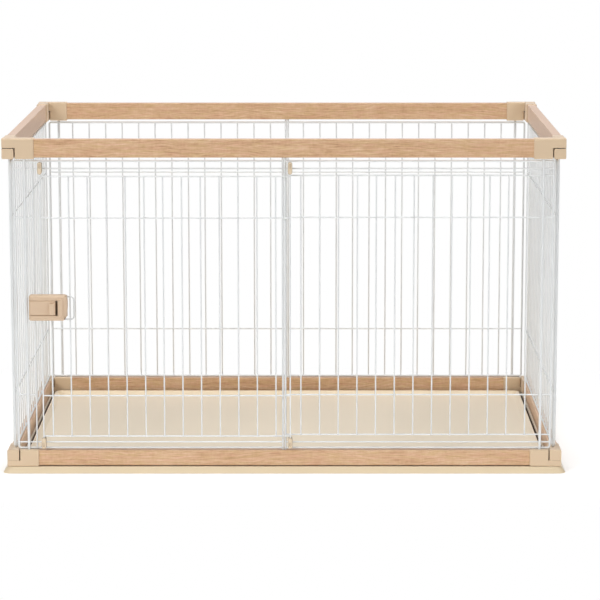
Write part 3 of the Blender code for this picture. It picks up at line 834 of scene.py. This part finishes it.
def front_panels():
    path, outer, inner = half_frame("front", 1)
    levels = (GUIDE_LOW, GRID_LOW, MID_LOW, MID_HIGH, GRID_TOP, GUIDE_TOP)
    panel("wire_panel_front_fixed", "front", path, crosses=[(inner, outer, z) for z in levels],
          uprights=FIXED_X, pegs=[WALLS["front"].half - PEG_IN], posts=[inner], upright_z=GRID_Z)

    path, outer, inner = half_frame("front", -1)
    guides = [(outer, inner, z) for z in (GUIDE_LOW, GUIDE_TOP)]
    stubs = [(outer, JAMB_X + CROSS_OVERHANG, z) for z in (MID_LOW, MID_HIGH)]
    panel("wire_panel_front_door_frame", "front", path, crosses=guides + stubs,
          uprights=[JAMB_X], pegs=[-(WALLS["front"].half - PEG_IN)], posts=[inner])


back_panels()
side_panels()
front_panels()


# =====================================================================================
# sliding door panel
# =====================================================================================
DOOR_TOP, DOOR_LOW = 672.4, 83.9
DOOR_EDGE = (-541.2, 13.6)  # x of the edge wires, which carry the clips
DOOR_WIRES = [-519.5 + 41.75 * k for k in range(13)]
DOOR_Y, DOOR_UP_Y = -424.0, -426.6  # planes of the cross wires and of the uprights
DOOR_EDGE_Z = (GUIDE_LOW - 4, GUIDE_TOP + 8)
LOOP_X, LOOP_Z, LOOP_R = (-520.6, -469.6), (351.0, 402.3), 7.5  # wire loop round the latch


def door_panel():
    build = bmesh.new()

    def wire(points, y, radius):
        sweep(build, [metres(x, y, z) for x, z in points], radius, OUT["front"])

    levels = (DOOR_LOW, MID_LOW, MID_HIGH, DOOR_TOP)
    left, right = DOOR_EDGE
    for z in levels:
        wire([(left - CROSS_OVERHANG, z), (right + CROSS_OVERHANG, z)], DOOR_Y, CROSS_R)
    for x in DOOR_WIRES:
        wire([(x, DOOR_LOW - OVERHANG), (x, DOOR_TOP + OVERHANG)], DOOR_UP_Y, UPRIGHT_R)
    for x in DOOR_EDGE:
        wire([(x, z) for z in DOOR_EDGE_Z], DOOR_UP_Y, UPRIGHT_R)
    (loop_left, loop_right), (loop_low, loop_top) = LOOP_X, LOOP_Z
    loop = [(loop_left, loop_top), (loop_right, loop_top), (loop_right, loop_low),
            (loop_left, loop_low)]
    wire(round_corners(loop, LOOP_R), DOOR_Y, CROSS_R)

    welds = [(x, z) for x in [*DOOR_WIRES, *DOOR_EDGE] for z in levels]
    welds += [(x, z) for x in DOOR_WIRES[:2] for z in LOOP_Z]
    for x, z in welds:
        weld_bead(build, metres(x, (DOOR_Y + DOOR_UP_Y) / 2, z), OUT["front"], *CROSS_BEAD)
    finish_piece(mesh_object(build, "door_panel_wires", 50), "door_panel", WIRE)


door_panel()


# =====================================================================================
# rails
# =====================================================================================
SLOT_HALF_X, SLOT_HALF_Y, SLOT_DEPTH = 7.0, 2.9, 9


def rail(node, seed):
    """A board; front and back boards have a slot at mid length, open towards the panels."""
    low, high = box_of(node)
    axis = "X" if high.x - low.x > high.y - low.y else "Y"
    obj = rounded_box(node + "_board", low, high, radius=1.7, segments=4)
    slots = []
    if axis == "X":
        mid_y = (low.y + high.y) / 2
        is_top = low.z > 300
        slot_z = (low.z - 2, low.z + SLOT_DEPTH) if is_top else (high.z - SLOT_DEPTH, high.z + 2)
        slots.append(rounded_box("slot", (-SLOT_HALF_X, mid_y - SLOT_HALF_Y, slot_z[0]),
                                 (SLOT_HALF_X, mid_y + SLOT_HALF_Y, slot_z[1]),
                                 radius=2.4, segments=4, along="Z"))
    cut(obj, slots)
    finish_piece(obj, node, wood_material("oak_film_" + node, axis, seed))


RAILS = [f"rail_{side}_{level}" for side in WALLS for level in ("top", "bottom")]
for i, node in enumerate(RAILS):
    rail(node, seed=1.0 + 0.37 * i)


# =====================================================================================
# corner caps
# =====================================================================================
LUG, SLIT, CAP_L = 26.6, 2.8, 71.5  # corner lug, gap beside it, whole length from the corner
LUG_ROOT = LUG + SLIT + 5  # the lug runs this far, into the shell
SOCKET = 14.0  # depth of the rail's socket
SOCKET_HALF, SOCKET_GAP = 10.05, 0.05
BORE_R, PEG_HOLE_L = 3.3, 17.5
CAP_Z = {"top": (711.0, 757.0), "bottom": (13.8, 51.8)}
RAIL_Z = {"top": (714.0, 755.0), "bottom": (15.8, 50.5)}
# at a corner two lugs stack: top of the lower one, underside of the upper one
SPLITS = {"top": (734.2, 735.7), "bottom": (27.25, 27.4)}
BROW_R = {"top": 4.2, "bottom": 3.0}  # rounding of the cap's outer upper edge
INSET, DEEP, HEIGHT = range(3)  # a cap's axes: from the corner, in from its outer face, z


def cap(node, side, end, level):
    """A shell over a rail's end with a lug at the corner; end is -1 or 1 along the wall."""
    plan = WALLS[side]
    low, high = CAP_Z[level]
    lower_top, upper_foot = SPLITS[level]
    long_wall = side in ("front", "back")
    upper = long_wall if level == "top" else not long_wall
    lug_z = (upper_foot, high) if upper else (low, lower_top)
    outer_z, split_z = reversed(lug_z) if upper else lug_z
    brow = BROW_R[level]

    def place(inset, deep, z):
        return wall(side, end * (plan.half - inset), CAP_T / 2 - deep, z) * 1000

    def span(insets, deeps, heights):
        first = place(insets[0], deeps[0], heights[0])
        second = place(insets[1], deeps[1], heights[1])
        return tuple(map(min, first, second)), tuple(map(max, first, second))

    def local(point):
        off_x, off_y = point.x - plan.mid_x, point.y - plan.mid_y
        along = off_x * plan.along_x + off_y * plan.along_y
        out = off_x * plan.out_x + off_y * plan.out_y
        return plan.half - end * along, CAP_T / 2 - out, point.z

    def lies(edge, axis, value):
        return all(abs(local(point)[axis] - value) < 0.01 for point in edge)

    def shell_radius(edge):
        if lies(edge, INSET, CAP_L):
            return 1.8 if lies(edge, HEIGHT, low) or lies(edge, HEIGHT, high) else 2.6
        if lies(edge, INSET, LUG + SLIT):
            return 0.9
        if lies(edge, DEEP, 0.0) and lies(edge, HEIGHT, high):
            return brow
        return 2.6

    def lug_radius(edge):
        outside = lies(edge, DEEP, 0.0)
        if lies(edge, INSET, LUG_ROOT):
            return 0.4
        if lies(edge, HEIGHT, outer_z):
            if outside:
                return brow if upper else 2.6
            return 1.6 if lies(edge, INSET, 0.0) else 2.4
        if lies(edge, HEIGHT, split_z):
            return 3.6 if level == "top" and not upper and lies(edge, DEEP, LUG) else 0.6
        return 1.7 if outside and lies(edge, INSET, 0.0) else 0.9

    obj = weighted_box(node + "_shell", *span((LUG + SLIT, CAP_L), (0, CAP_T), (low, high)),
                       shell_radius)
    join(obj, [weighted_box("lug", *span((0, LUG_ROOT), (0, LUG), lug_z), lug_radius)])
    # the web closes the slit on the level the other wall's lug takes
    web_z = (low + 2.4, lower_top - 0.6) if upper else (upper_foot + 0.6, high - 2.4)
    join(obj, [rounded_box("web", *span((LUG + 0.3, LUG + SLIT + 4), (11.5, 23.0), web_z),
                           radius=0.5, segments=2)])

    rail_low, rail_high = RAIL_Z[level]
    socket = rounded_box("socket", *span((CAP_L - SOCKET, CAP_L + 2),
                                         (CAP_T / 2 - SOCKET_HALF, CAP_T / 2 + SOCKET_HALF),
                                         (rail_low - SOCKET_GAP, rail_high + SOCKET_GAP)),
                         radius=1.6, segments=3)
    peg_z = (low + 6.75) if level == "top" else (high - 6.75)
    peg = cylinder("peg_hole", place(PEG_IN, CAP_T / 2 - PEG_OUT - plan.shift, peg_z),
                   BORE_R, PEG_HOLE_L)
    # the pin's bore stays blind in an upper lug and runs through a lower one
    bottom, top = lug_z[0] - 2, (lug_z[1] - 5.0 if upper else lug_z[1] + 2)
    bore = cylinder("bore", place(LUG / 2, LUG / 2, (bottom + top) / 2), BORE_R, top - bottom)
    cut(obj, [socket, peg, bore])
    finish_piece(obj, node, PLASTIC)


def caps():
    for side in WALLS:
        words = ("left", "right") if side in ("front", "back") else ("front", "back")
        for level in ("top", "bottom"):
            for end, word in zip((-1, 1), words):
                cap(f"cap_{side}_{level}_{word}", side, end, level)


def corner_pin(node):
    low, high = box_of(node)
    centre = (low + high) / 2
    profile = [(2.4, low.z), (3.0, low.z + 0.8), (3.0, high.z - 1.4), (2.2, high.z)]
    turned_pin(node, centre.x, centre.y, profile, sides=28)


caps()
for y_word in ("front", "back"):
    for x_word in ("left", "right"):
        for level in ("top", "bottom"):
            corner_pin(f"corner_pin_{y_word}_{x_word}_{level}")


# =====================================================================================
# floor tray
# =====================================================================================
# section of the tray as (inset from the tray's edge, z): from the floor out to the edge
TRAY_UPPER = [
    (74.0, 12.0), (57.6, 12.1), (48.9, 19.3), (47.0, 20.2), (45.4, 20.2), (43.4, 19.4),
    (42.8, 5.5), (37.6, 5.5), (36.8, 13.5), (10.8, 13.5), (9.4, 13.2), (1.0, 1.6), (0.0, 0.0),
]
# and back in along the underside
TRAY_LOWER = [
    (0.0, 0.0), (3.2, 0.0), (10.6, 10.0), (12.4, 11.0), (34.2, 11.0), (35.2, 3.0), (45.2, 3.0),
    (46.0, 17.2), (47.6, 17.2), (56.0, 9.2), (69.2, 9.0), (394.0, 9.0), (396.0, 0.0),
]
TRAY_CORNERS = ((1, 1), (-1, 1), (-1, -1), (1, -1))
ARC_STEPS, RUN_STEPS = 12, 8  # faces round a corner and along a straight side


def smooth_profile(points, radius, steps):
    """Rounds each interior corner of an (inset, z) profile."""
    rounded = [Vector(points[0])]
    for before, corner, after in zip(points, points[1:], points[2:]):
        before, corner, after = Vector(before), Vector(corner), Vector(after)
        length_in, length_out = (before - corner).length, (after - corner).length
        reach = min(radius, length_in * 0.42, length_out * 0.42)
        start = corner + (before - corner) / length_in * reach
        end = corner + (after - corner) / length_out * reach
        for i in range(steps + 1):
            part = i / steps
            rounded.append(start * (1 - part) ** 2 + corner * 2 * part * (1 - part)
                           + end * part * part)
    rounded.append(Vector(points[-1]))
    return rounded


def tray_corner_radius(inset):
    """Plan radius of a corner: tightens over the sloped edge, and again towards the floor."""
    ridge = 0.0 if inset < 40 else 1.0
    floor = 0.0 if inset < 52 else min((inset - 52) * 0.25, 4.5)
    return 17.0 - 0.35 * min(inset, 10.0) + ridge - floor


def tray_ring(inset, z):
    """The points of one rounded rectangle; points along the straight runs keep faces short."""
    radius = tray_corner_radius(inset)

    def point(signs, degrees):
        angle = math.radians(degrees)
        return metres(signs[0] * (TRAY_HALF_X - inset - radius) + radius * math.cos(angle),
                      signs[1] * (TRAY_HALF_Y - inset - radius) + radius * math.sin(angle), z)

    ring = []
    for i, corner in enumerate(TRAY_CORNERS):
        start = 90 * i
        ring += [point(corner, start + 90.0 * k / ARC_STEPS) for k in range(ARC_STEPS + 1)]
        run_start = ring[-1]
        run_end = point(TRAY_CORNERS[(i + 1) % 4], start + 90.0)
        ring += [run_start.lerp(run_end, k / RUN_STEPS) for k in range(1, RUN_STEPS)]
    return ring


def tray():
    profile = smooth_profile(TRAY_UPPER, radius=2.4, steps=4)
    profile += smooth_profile(TRAY_LOWER, radius=1.2, steps=2)[1:]
    build = bmesh.new()
    skin(build, [[build.verts.new(point) for point in tray_ring(inset, z)]
                 for inset, z in profile])
    bmesh.ops.remove_doubles(build, verts=build.verts, dist=1e-6)
    finish_piece(mesh_object(build, "floor_tray_moulding", 50), "floor_tray", CREAM)


tray()


# =====================================================================================
# door runners
# =====================================================================================
Clip = namedtuple("Clip", "body hook guide tang eye_z eye_height")
# z ranges of the block, the arm behind it and the bore for the door's edge wire; guide wire z
CLIPS = {
    "top": Clip((677.2, 704.4), (681.0, 701.8), GUIDE_TOP,
                (677.2 - 2, DOOR_EDGE_Z[1] + 0.5), 696.2, 10.5),
    "bottom": Clip((55.2, 80.8), (59.6, 79.4), GUIDE_LOW,
                   (DOOR_EDGE_Z[0] - 0.5, 80.8 + 2), 64.8, 8.5),
}
GUIDE_Y = -MID_Y - CROSS_OUT


def clip(node, x, level):
    """A runner: an oval block on the door's edge wire with an arm grooved for the guide wire."""
    body, hook, guide, tang, eye_z, eye_height = CLIPS[level]
    obj = stadium(node + "_runner", x, sum(body) / 2, 10.0, body[1] - body[0],
                  (-431.6, -420.6), edge=2.4)
    arm = rounded_box("arm", (x - 4.2, -424.0, hook[0]), (x + 4.2, -408.8, hook[1]), radius=1.3)
    join(obj, [arm])
    cut(obj, [
        cylinder("bore", (x, DOOR_UP_Y, sum(tang) / 2), UPRIGHT_R + 0.3, tang[1] - tang[0],
                 sides=20),
        rounded_box("groove", (x - 7, GUIDE_Y - 2.0, hook[0] - 3),
                    (x + 7, GUIDE_Y + 2.0, guide + 2.0), radius=1.4, along="X"),
        stadium("eye", x, eye_z, 5.0, eye_height, (-435.0, -429.4), edge=1.6),
    ])
    finish_piece(obj, node, RUNNER)


for x, word in zip(DOOR_EDGE, ("left", "right")):
    for level in ("top", "bottom"):
        clip(f"door_clip_{level}_{word}", x, level)


# =====================================================================================
# door latch
# =====================================================================================
LATCH_LEFT, LATCH_RIGHT = -568.0, -482.3
LATCH_LOW, LATCH_TOP = 351.6, 408.8
LATCH_BACK_Y, LATCH_FRONT_Y = -428.6, -450.0
PIVOT_X, PIVOT_Y, PIVOT_Z = -548.7, -425.0, 381.0  # the hook's pin
SCREWS = ((-530.3, 394.0), (-492.0, 364.0))  # x and z
SCREW_HOLE_R = 1.8
# housing sections as (y back from the front face, inset): a soft chamfer round the face
FACE_CHAMFER = ((0.0, 5.0), (0.05, 4.5), (0.35, 3.9), (0.85, 3.3), (2.4, 1.7), (3.1, 0.95),
                (3.9, 0.35), (5.0, 0.0))


def latch_outline(inset):
    """The housing in (x, z): straight left side, bowed right side fullest above its middle."""
    left, right = LATCH_LEFT + inset, LATCH_RIGHT - inset * 1.5
    low, top = LATCH_LOW + inset, LATCH_TOP - inset
    mid_z, half_z = (low + top) / 2, (top - low) / 2
    low_lean, top_lean = math.radians(18), math.radians(10)  # where the arcs meet the bow

    def bow(z):
        return right - 3.9 * ((z - mid_z) / half_z - 0.24) ** 2

    points = []
    radius = max(0.8, 4.6 - inset)
    for start, z in ((90, top - radius), (180, low + radius)):
        for i in range(7):
            angle = math.radians(start + 15 * i)
            points.append((left + radius + radius * math.cos(angle), z + radius * math.sin(angle)))
    radius = max(1.0, 7.0 - inset)
    low_end = low + radius * (1 - math.sin(low_lean))
    top_end = top - radius * (1 - math.sin(top_lean))
    for i in range(7):
        angle = math.radians(270 + 12 * i)
        points.append((bow(low_end) + radius * (math.cos(angle) - math.cos(low_lean)),
                       low + radius + radius * math.sin(angle)))
    for i in range(1, 12):
        z = low_end + (top_end - low_end) * i / 12
        points.append((bow(z), z))
    for i in range(7):
        angle = math.radians(10 + 80 * i / 6)
        points.append((bow(top_end) + radius * (math.cos(angle) - math.cos(top_lean)),
                       top - radius + radius * math.sin(angle)))
    return points


def latch_housing():
    levels = [(LATCH_FRONT_Y + y, inset) for y, inset in FACE_CHAMFER]
    levels += [(LATCH_BACK_Y - 0.8, 0.0), (LATCH_BACK_Y, 0.6)]
    obj = loft_y("latch_housing_shell", latch_outline, levels)
    join(obj, [
        rounded_box("overhang", (LATCH_LEFT + 0.05, -434.0, LATCH_LOW + 4.2),
                    (-543.2, -420.6, LATCH_TOP - 4.2), radius=1.2),
        rounded_box("ridge", (-502.9, LATCH_FRONT_Y - 3.1, 361.0),
                    (-491.2, LATCH_FRONT_Y + 2.5, 400.0), radius=2.4, segments=5),
    ])
    cut(obj, [
        rounded_box("cavity", (LATCH_LEFT + 2, -447.6, LATCH_LOW + 2.4),
                    (LATCH_RIGHT - 4.5, -431.2, LATCH_TOP - 2.4), radius=1.5, segments=2),
        rounded_box("window", (LATCH_LEFT - 6, -455.0, 363.1), (-503.7, -446.0, 397.7),
                    radius=1.2, along="Y"),
        rounded_box("hook_slot", (LATCH_LEFT - 2, -433.0, 374.7), (-538.8, -419.0, 387.3)),
    ])
    ledges = [
        rounded_box("ledge", (LATCH_LEFT + 1, -443.4, low), (LATCH_RIGHT - 6, -441.0, top))
        for low, top in ((LATCH_LOW + 1.5, 358.0), (404.6, LATCH_TOP - 1.5))]
    rib = rounded_box("rib", (-516.7, -443.4, 371.0), (-514.7, -430.4, 391.6))
    bosses = [cylinder("boss", (x, -434.8, z), 4.0, 8.6, "Y") for x, z in SCREWS]
    join(obj, [*ledges, rib, *bosses])
    holes = [cylinder("hole", (x, -432.3, z), SCREW_HOLE_R, 12.4, "Y", 20) for x, z in SCREWS]
    holes.append(cylinder("hole", (PIVOT_X, PIVOT_Y, PIVOT_Z), 1.8, 42.6, "Z", 20))
    cut(obj, holes)
    finish_piece(obj, "latch_housing", PLASTIC_LATCH)


latch_housing()

PAD_LEFT, PAD_RIGHT, PAD_LOW, PAD_TOP = -566.0, -508.4, 363.6, 397.2
PAD_COLUMNS, PAD_ROWS = 56, 24
PAD_FRONT_Y, PAD_RIM = -448.9, 1.2
SCOOP_START, SCOOP_LENGTH, SCOOP_DEPTH = -546.0, 23.0, 2.3  # deepens towards +x
SCOOP_Z, SCOOP_HALF = 379.0, 15.5


def pad_y(x, z):
    """The pad's front face: a scoop beside the grip and a rounded rim."""
    part = max(0.0, min(1.0, (x - SCOOP_START) / SCOOP_LENGTH))
    scoop = SCOOP_DEPTH * part * part * (3 - 2 * part)
    across = max(0.0, 1.0 - ((z - SCOOP_Z) / SCOOP_HALF) ** 2)
    margin = min(x - PAD_LEFT, PAD_TOP - z, z - PAD_LOW, (PAD_RIGHT - x) * 1.6)
    rim = max(0.0, min(1.0, margin / PAD_RIM))
    return PAD_FRONT_Y + scoop * across + (1 - math.sqrt(max(0.0, 1 - (1 - rim) ** 2))) * PAD_RIM


def lever_pad():
    """The pad that fills the housing's window."""
    build = bmesh.new()
    xs = [PAD_LEFT + (PAD_RIGHT - PAD_LEFT) / PAD_COLUMNS * i for i in range(PAD_COLUMNS + 1)]
    zs = [PAD_LOW + (PAD_TOP - PAD_LOW) / PAD_ROWS * j for j in range(PAD_ROWS + 1)]
    front = [[build.verts.new(metres(x, pad_y(x, z), z)) for z in zs] for x in xs]
    rear = [[build.verts.new(metres(x, -445.0 if x > -563.0 else -446.3, z)) for z in zs]
            for x in xs]
    face = build.faces.new
    for i in range(PAD_COLUMNS):
        for j in range(PAD_ROWS):
            face((front[i][j], front[i + 1][j], front[i + 1][j + 1], front[i][j + 1]))
            face((rear[i][j], rear[i][j + 1], rear[i + 1][j + 1], rear[i + 1][j]))
    for i in range(PAD_COLUMNS):
        face((front[i][0], rear[i][0], rear[i + 1][0], front[i + 1][0]))
        face((front[i][-1], front[i + 1][-1], rear[i + 1][-1], rear[i][-1]))
    for j in range(PAD_ROWS):
        face((front[0][j], front[0][j + 1], rear[0][j + 1], rear[0][j]))
        face((front[-1][j], rear[-1][j], rear[-1][j + 1], front[-1][j + 1]))
    return mesh_object(build, "pad")


def latch_lever():
    obj = rounded_box("latch_lever_slide", (-563.7, -446.0, 358.6), (-508.3, -443.8, 404.0),
                      radius=0.6, segments=2)
    pad = lever_pad()
    grip = rounded_box("grip", (-523.2, -452.4, 364.8), (-509.0, -445.5, 391.2),
                       radius=2.6, segments=5)
    fork = rounded_box("fork", (PIVOT_X - 5, -445.0, 375.5), (PIVOT_X + 5, -430.0, 386.5),
                       radius=0.8, segments=2)
    join(obj, [pad, grip, fork], angle=30)
    cut(obj, [rounded_box("slot", (PIVOT_X - 2.5, -440.0, 370), (PIVOT_X + 2.5, -428.0, 392))],
        angle=30)
    finish_piece(obj, "latch_lever", PLASTIC_LATCH)


def latch_hook():
    """The claw: a hub on the pin, an arm with a turned tip, and a stem with a knob."""
    turn = (Matrix.Translation(Vector((PIVOT_X, PIVOT_Y, 0)) * MILLI)
            @ Matrix.Rotation(math.radians(16.0), 4, "Z"))
    low, top = 375.0, 387.0

    def turned(obj):
        obj.data.transform(turn)
        return obj

    obj = cylinder("latch_hook_claw", (PIVOT_X, PIVOT_Y, PIVOT_Z), 4.0, top - low - 0.2, sides=36)
    join(obj, [
        turned(rounded_box("arm", (-14.6, -1.5, low + 0.1), (0, 1.5, top - 0.1), radius=0.7)),
        turned(rounded_box("tip", (-15.3, -1.7, low + 0.2), (-12.5, 10.4, top - 0.2), radius=1.0)),
        rounded_box("stem", (PIVOT_X - 1, PIVOT_Y - 7.3, low + 1), (PIVOT_X + 1, PIVOT_Y, top - 1)),
        cylinder("knob", (PIVOT_X, PIVOT_Y - 7.26, PIVOT_Z), 2.0, top - low - 2.4, sides=28),
    ])
    cut(obj, [cylinder("bore", (PIVOT_X, PIVOT_Y, PIVOT_Z), 1.8, 20, sides=28)])
    finish_piece(obj, "latch_hook", PLASTIC_LATCH)


latch_lever()
latch_hook()
turned_pin("latch_hook_pin", PIVOT_X, PIVOT_Y,
           [(1.2, 360.0), (1.5, 360.5), (1.5, 401.5), (1.2, 402.0)], sides=24)

SPRING_Y = -437.4
SPRING_TURNS, STEPS_PER_TURN, SPRING_R, SPRING_WIRE_R = 5, 28, 2.5, 0.36


def latch_spring():
    """A coil lying along x."""
    low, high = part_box("latch_spring")
    left, right = low.x * 1000 + 0.45, high.x * 1000 - 0.45
    count = SPRING_TURNS * STEPS_PER_TURN
    build = bmesh.new()
    rings = []
    for i in range(count + 1):
        angle = 2 * math.pi * i / STEPS_PER_TURN
        cosine, sine = math.cos(angle), math.sin(angle)
        x = left + (right - left) * (i / count)
        centre = Vector((x, SPRING_Y + SPRING_R * cosine, PIVOT_Z + SPRING_R * sine))
        radial = Vector((0, cosine, sine))
        tangent = Vector(((right - left) / count,
                          -SPRING_R * sine * 2 * math.pi / STEPS_PER_TURN,
                          SPRING_R * cosine * 2 * math.pi / STEPS_PER_TURN)).normalized()
        other = tangent.cross(radial).normalized()
        rings.append([build.verts.new((centre + (radial * across + other * up) * SPRING_WIRE_R)
                                      * MILLI) for across, up in circle(8)])
    skin(build, rings)
    # the rib end sits at the door and the fork end at the lever, so the coil is baked in place
    ends = (metres(x, SPRING_Y, PIVOT_Z) for x in (right - 0.6, left + 0.6))
    finish_piece(mesh_object(build, "latch_spring_coil", 40), "latch_spring", STEEL,
                 ("door", "latch_lever", *ends))


def latch_back_plate():
    """The plate behind the door's wires, with countersunk holes for the screw heads."""
    obj = rounded_box("latch_back_plate_moulding", (-538.2, -422.0, 356.6),
                      (-484.2, -418.7, 406.2), radius=3.5, segments=5, along="Y")
    round_rim(obj, beyond_y=-418.8, radius=0.9)
    holes = [cylinder("hole", (x, -420.0, z), SCREW_HOLE_R, 8.0, "Y", 20) for x, z in SCREWS]
    holes += [cylinder("hole", (x, -418.2, z), 3.4, 4.2, "Y", 32) for x, z in SCREWS]
    cut(obj, holes)
    finish_piece(obj, "latch_back_plate", PLASTIC_LATCH)


SHANK_START_Y, SHANK_L, SHANK_R = -419.4, 18.4, 1.5
THREAD_DEPTH, SHANK_TIP_R = 0.28, 0.7
SHANK_STEPS, PLAIN_STEPS = 64, 6
CROSS_Y = (-418.95, -417.5)
CROSS_LONG, CROSS_THIN = 1.9, 0.35  # half sizes of the recess's two slots


def screw(node, x, z):
    """Pan head with a cross recess, and a shank whose radius rises and falls as a thread."""
    head = cylinder(node + "_turned", (x, -419.1, z), 3.0, 1.6, "Y", 36)
    round_rim(head, beyond_y=-419.0, radius=0.5)
    levels = []
    for i in range(SHANK_STEPS + 1):
        radius = SHANK_R - THREAD_DEPTH if i > PLAIN_STEPS and i % 2 else SHANK_R
        if i == SHANK_STEPS:
            radius = SHANK_TIP_R
        levels.append((SHANK_START_Y - SHANK_L * i / SHANK_STEPS, radius))

    def outline_at(radius):
        return [(x + radius * cosine, z + radius * sine) for cosine, sine in circle(20)]

    join(head, [loft_y("shank", outline_at, levels)])
    cut(head, [rounded_box("slot", (x - half_x, CROSS_Y[0], z - half_z),
                           (x + half_x, CROSS_Y[1], z + half_z))
               for half_x, half_z in ((CROSS_LONG, CROSS_THIN), (CROSS_THIN, CROSS_LONG))])
    finish_piece(head, node, STEEL)


latch_spring()
latch_back_plate()
screw("latch_screw_upper", *SCREWS[0])
screw("latch_screw_lower", *SCREWS[1])


# =====================================================================================
# floor, light, camera (metres)
# =====================================================================================
FLOOR_GLOW = 0.25  # light the floor adds where the camera sees it beside the tray
BOUNCE_NEAR, BOUNCE_FAR = 0.28, 0.05  # light it throws on the pen, near and far from the tray
WORLD_LOW, WORLD_HIGH, WORLD_BACK = 0.56, 0.96, 0.8  # surround below, above and behind
TOP_POWER, KEY_POWER, FILL_POWER = 200.0, 150.0, 78.0  # watts


def studio_floor():
    """A pale sheet that turns pure white to the camera once clear of the tray."""
    mat = Material("studio_floor")
    soft = mat.noise(mat.position, scale=1.3)
    tone = mat.mix(soft, (0.86, 0.86, 0.86), (0.88, 0.88, 0.88))
    mat.finish(tone, rough=0.9, Specular_IOR_Level=0.05)
    seen = mat.node("ShaderNodeLightPath").outputs["Is Camera Ray"]
    # distance out from the tray's edge
    x, y, _ = mat.separate(mat.position)
    out_x = mat.math("SUBTRACT", mat.math("ABSOLUTE", x), TRAY_HALF_X * MILLI)
    out_y = mat.math("SUBTRACT", mat.math("ABSOLUTE", y), TRAY_HALF_Y * MILLI)
    away = mat.math("MAXIMUM", out_x, out_y)

    # the sheet bounces light up onto the lowest pieces
    bounce = mat.node("ShaderNodeEmission")
    unseen = mat.math("SUBTRACT", 1.0, seen)
    thrown = mat.math("MULTIPLY", unseen, mat.map_range(
        away, start=0.25, end=1.1, to_start=BOUNCE_NEAR, to_end=BOUNCE_FAR))
    mat.link(mat.add_scaled(thrown, seen, FLOOR_GLOW), bounce.inputs["Strength"])
    lit = mat.node("ShaderNodeAddShader")
    mat.link(mat.bsdf.outputs[0], lit.inputs[0])
    mat.link(bounce.outputs[0], lit.inputs[1])
    white = mat.node_with("ShaderNodeEmission", "Strength", 1.0)
    blend = mat.node("ShaderNodeMixShader")
    clear = mat.map_range(away, start=0.03, end=0.30, to_start=0.0, to_end=1.0)
    mat.link(mat.math("MULTIPLY", seen, clear), blend.inputs[0])
    mat.link(lit.outputs[0], blend.inputs[1])
    mat.link(white.outputs[0], blend.inputs[2])
    mat.link(blend.outputs[0], mat.tree.nodes["Material Output"].inputs["Surface"])

    build = bmesh.new()
    bmesh.ops.create_grid(build, x_segments=1, y_segments=1, size=60.0,
                          matrix=Matrix.Translation((0, 0, -0.0006)))
    floor = mesh_object(build, "studio_floor")
    floor.data.materials.append(mat.material)


def studio_world():
    """A soft surround for the pen, plain white to the camera."""
    world = bpy.data.worlds.new("studio")
    scene.world = world
    world.use_nodes = True
    graph = Graph(world.node_tree)
    path = graph.node("ShaderNodeLightPath")
    coord = graph.node("ShaderNodeTexCoord")
    _, y, z = graph.separate(coord.outputs["Generated"])
    rising = graph.map_range(z, start=-0.1, end=1.0, to_start=WORLD_LOW, to_end=WORLD_HIGH,
                             interpolation="LINEAR")
    # a lit backdrop behind the pen gives the flat tops their white sheen
    behind = graph.map_range(y, start=0.25, end=0.85, to_start=0.0, to_end=WORLD_BACK)
    total = graph.math("ADD", rising, behind)
    pick = graph.node("ShaderNodeMix", data_type="FLOAT")
    # sockets 0, 2 and 3 are the factor and the two numbers
    for index, value in ((0, path.outputs["Is Camera Ray"]), (2, total), (3, 1.0)):
        graph.feed(pick.inputs[index], value)
    graph.link(pick.outputs[0], graph.tree.nodes["Background"].inputs["Strength"])


def soft_box(name, location, target, size, energy):
    data = bpy.data.lights.new(name, "AREA")
    data.shape = "RECTANGLE"
    data.size, data.size_y = size
    data.energy = energy
    light = bpy.data.objects.new(name, data)
    light.location = location
    aim = Vector(target) - Vector(location)
    light.rotation_euler = aim.to_track_quat("-Z", "Y").to_euler()
    scene.collection.objects.link(light)
    light.visible_camera = False


def camera():
    data = bpy.data.cameras.new("camera")
    data.sensor_width = 36.0
    data.lens = 160.148
    data.shift_x = -0.01426
    data.clip_start, data.clip_end = 0.1, 200.0
    obj = bpy.data.objects.new("camera", data)
    obj.location = (0.0546, -6.2983, 1.4053)
    degrees_down = 9.761
    obj.rotation_euler = (math.radians(90 - degrees_down), 0, 0)
    scene.collection.objects.link(obj)
    scene.camera = obj


studio_floor()
studio_world()
soft_box("top_soft", location=(0.0, 0.3, 4.6), target=(0, 0, 0), size=(5.0, 4.0),
         energy=TOP_POWER)
soft_box("key_soft", location=(-3.2, -4.6, 3.0), target=(0, 0, 0.4), size=(2.4, 2.4),
         energy=KEY_POWER)
soft_box("fill_soft", location=(3.6, -4.2, 2.2), target=(0, 0, 0.3), size=(2.4, 2.4),
         energy=FILL_POWER)
camera()

bpy.context.view_layer.update()
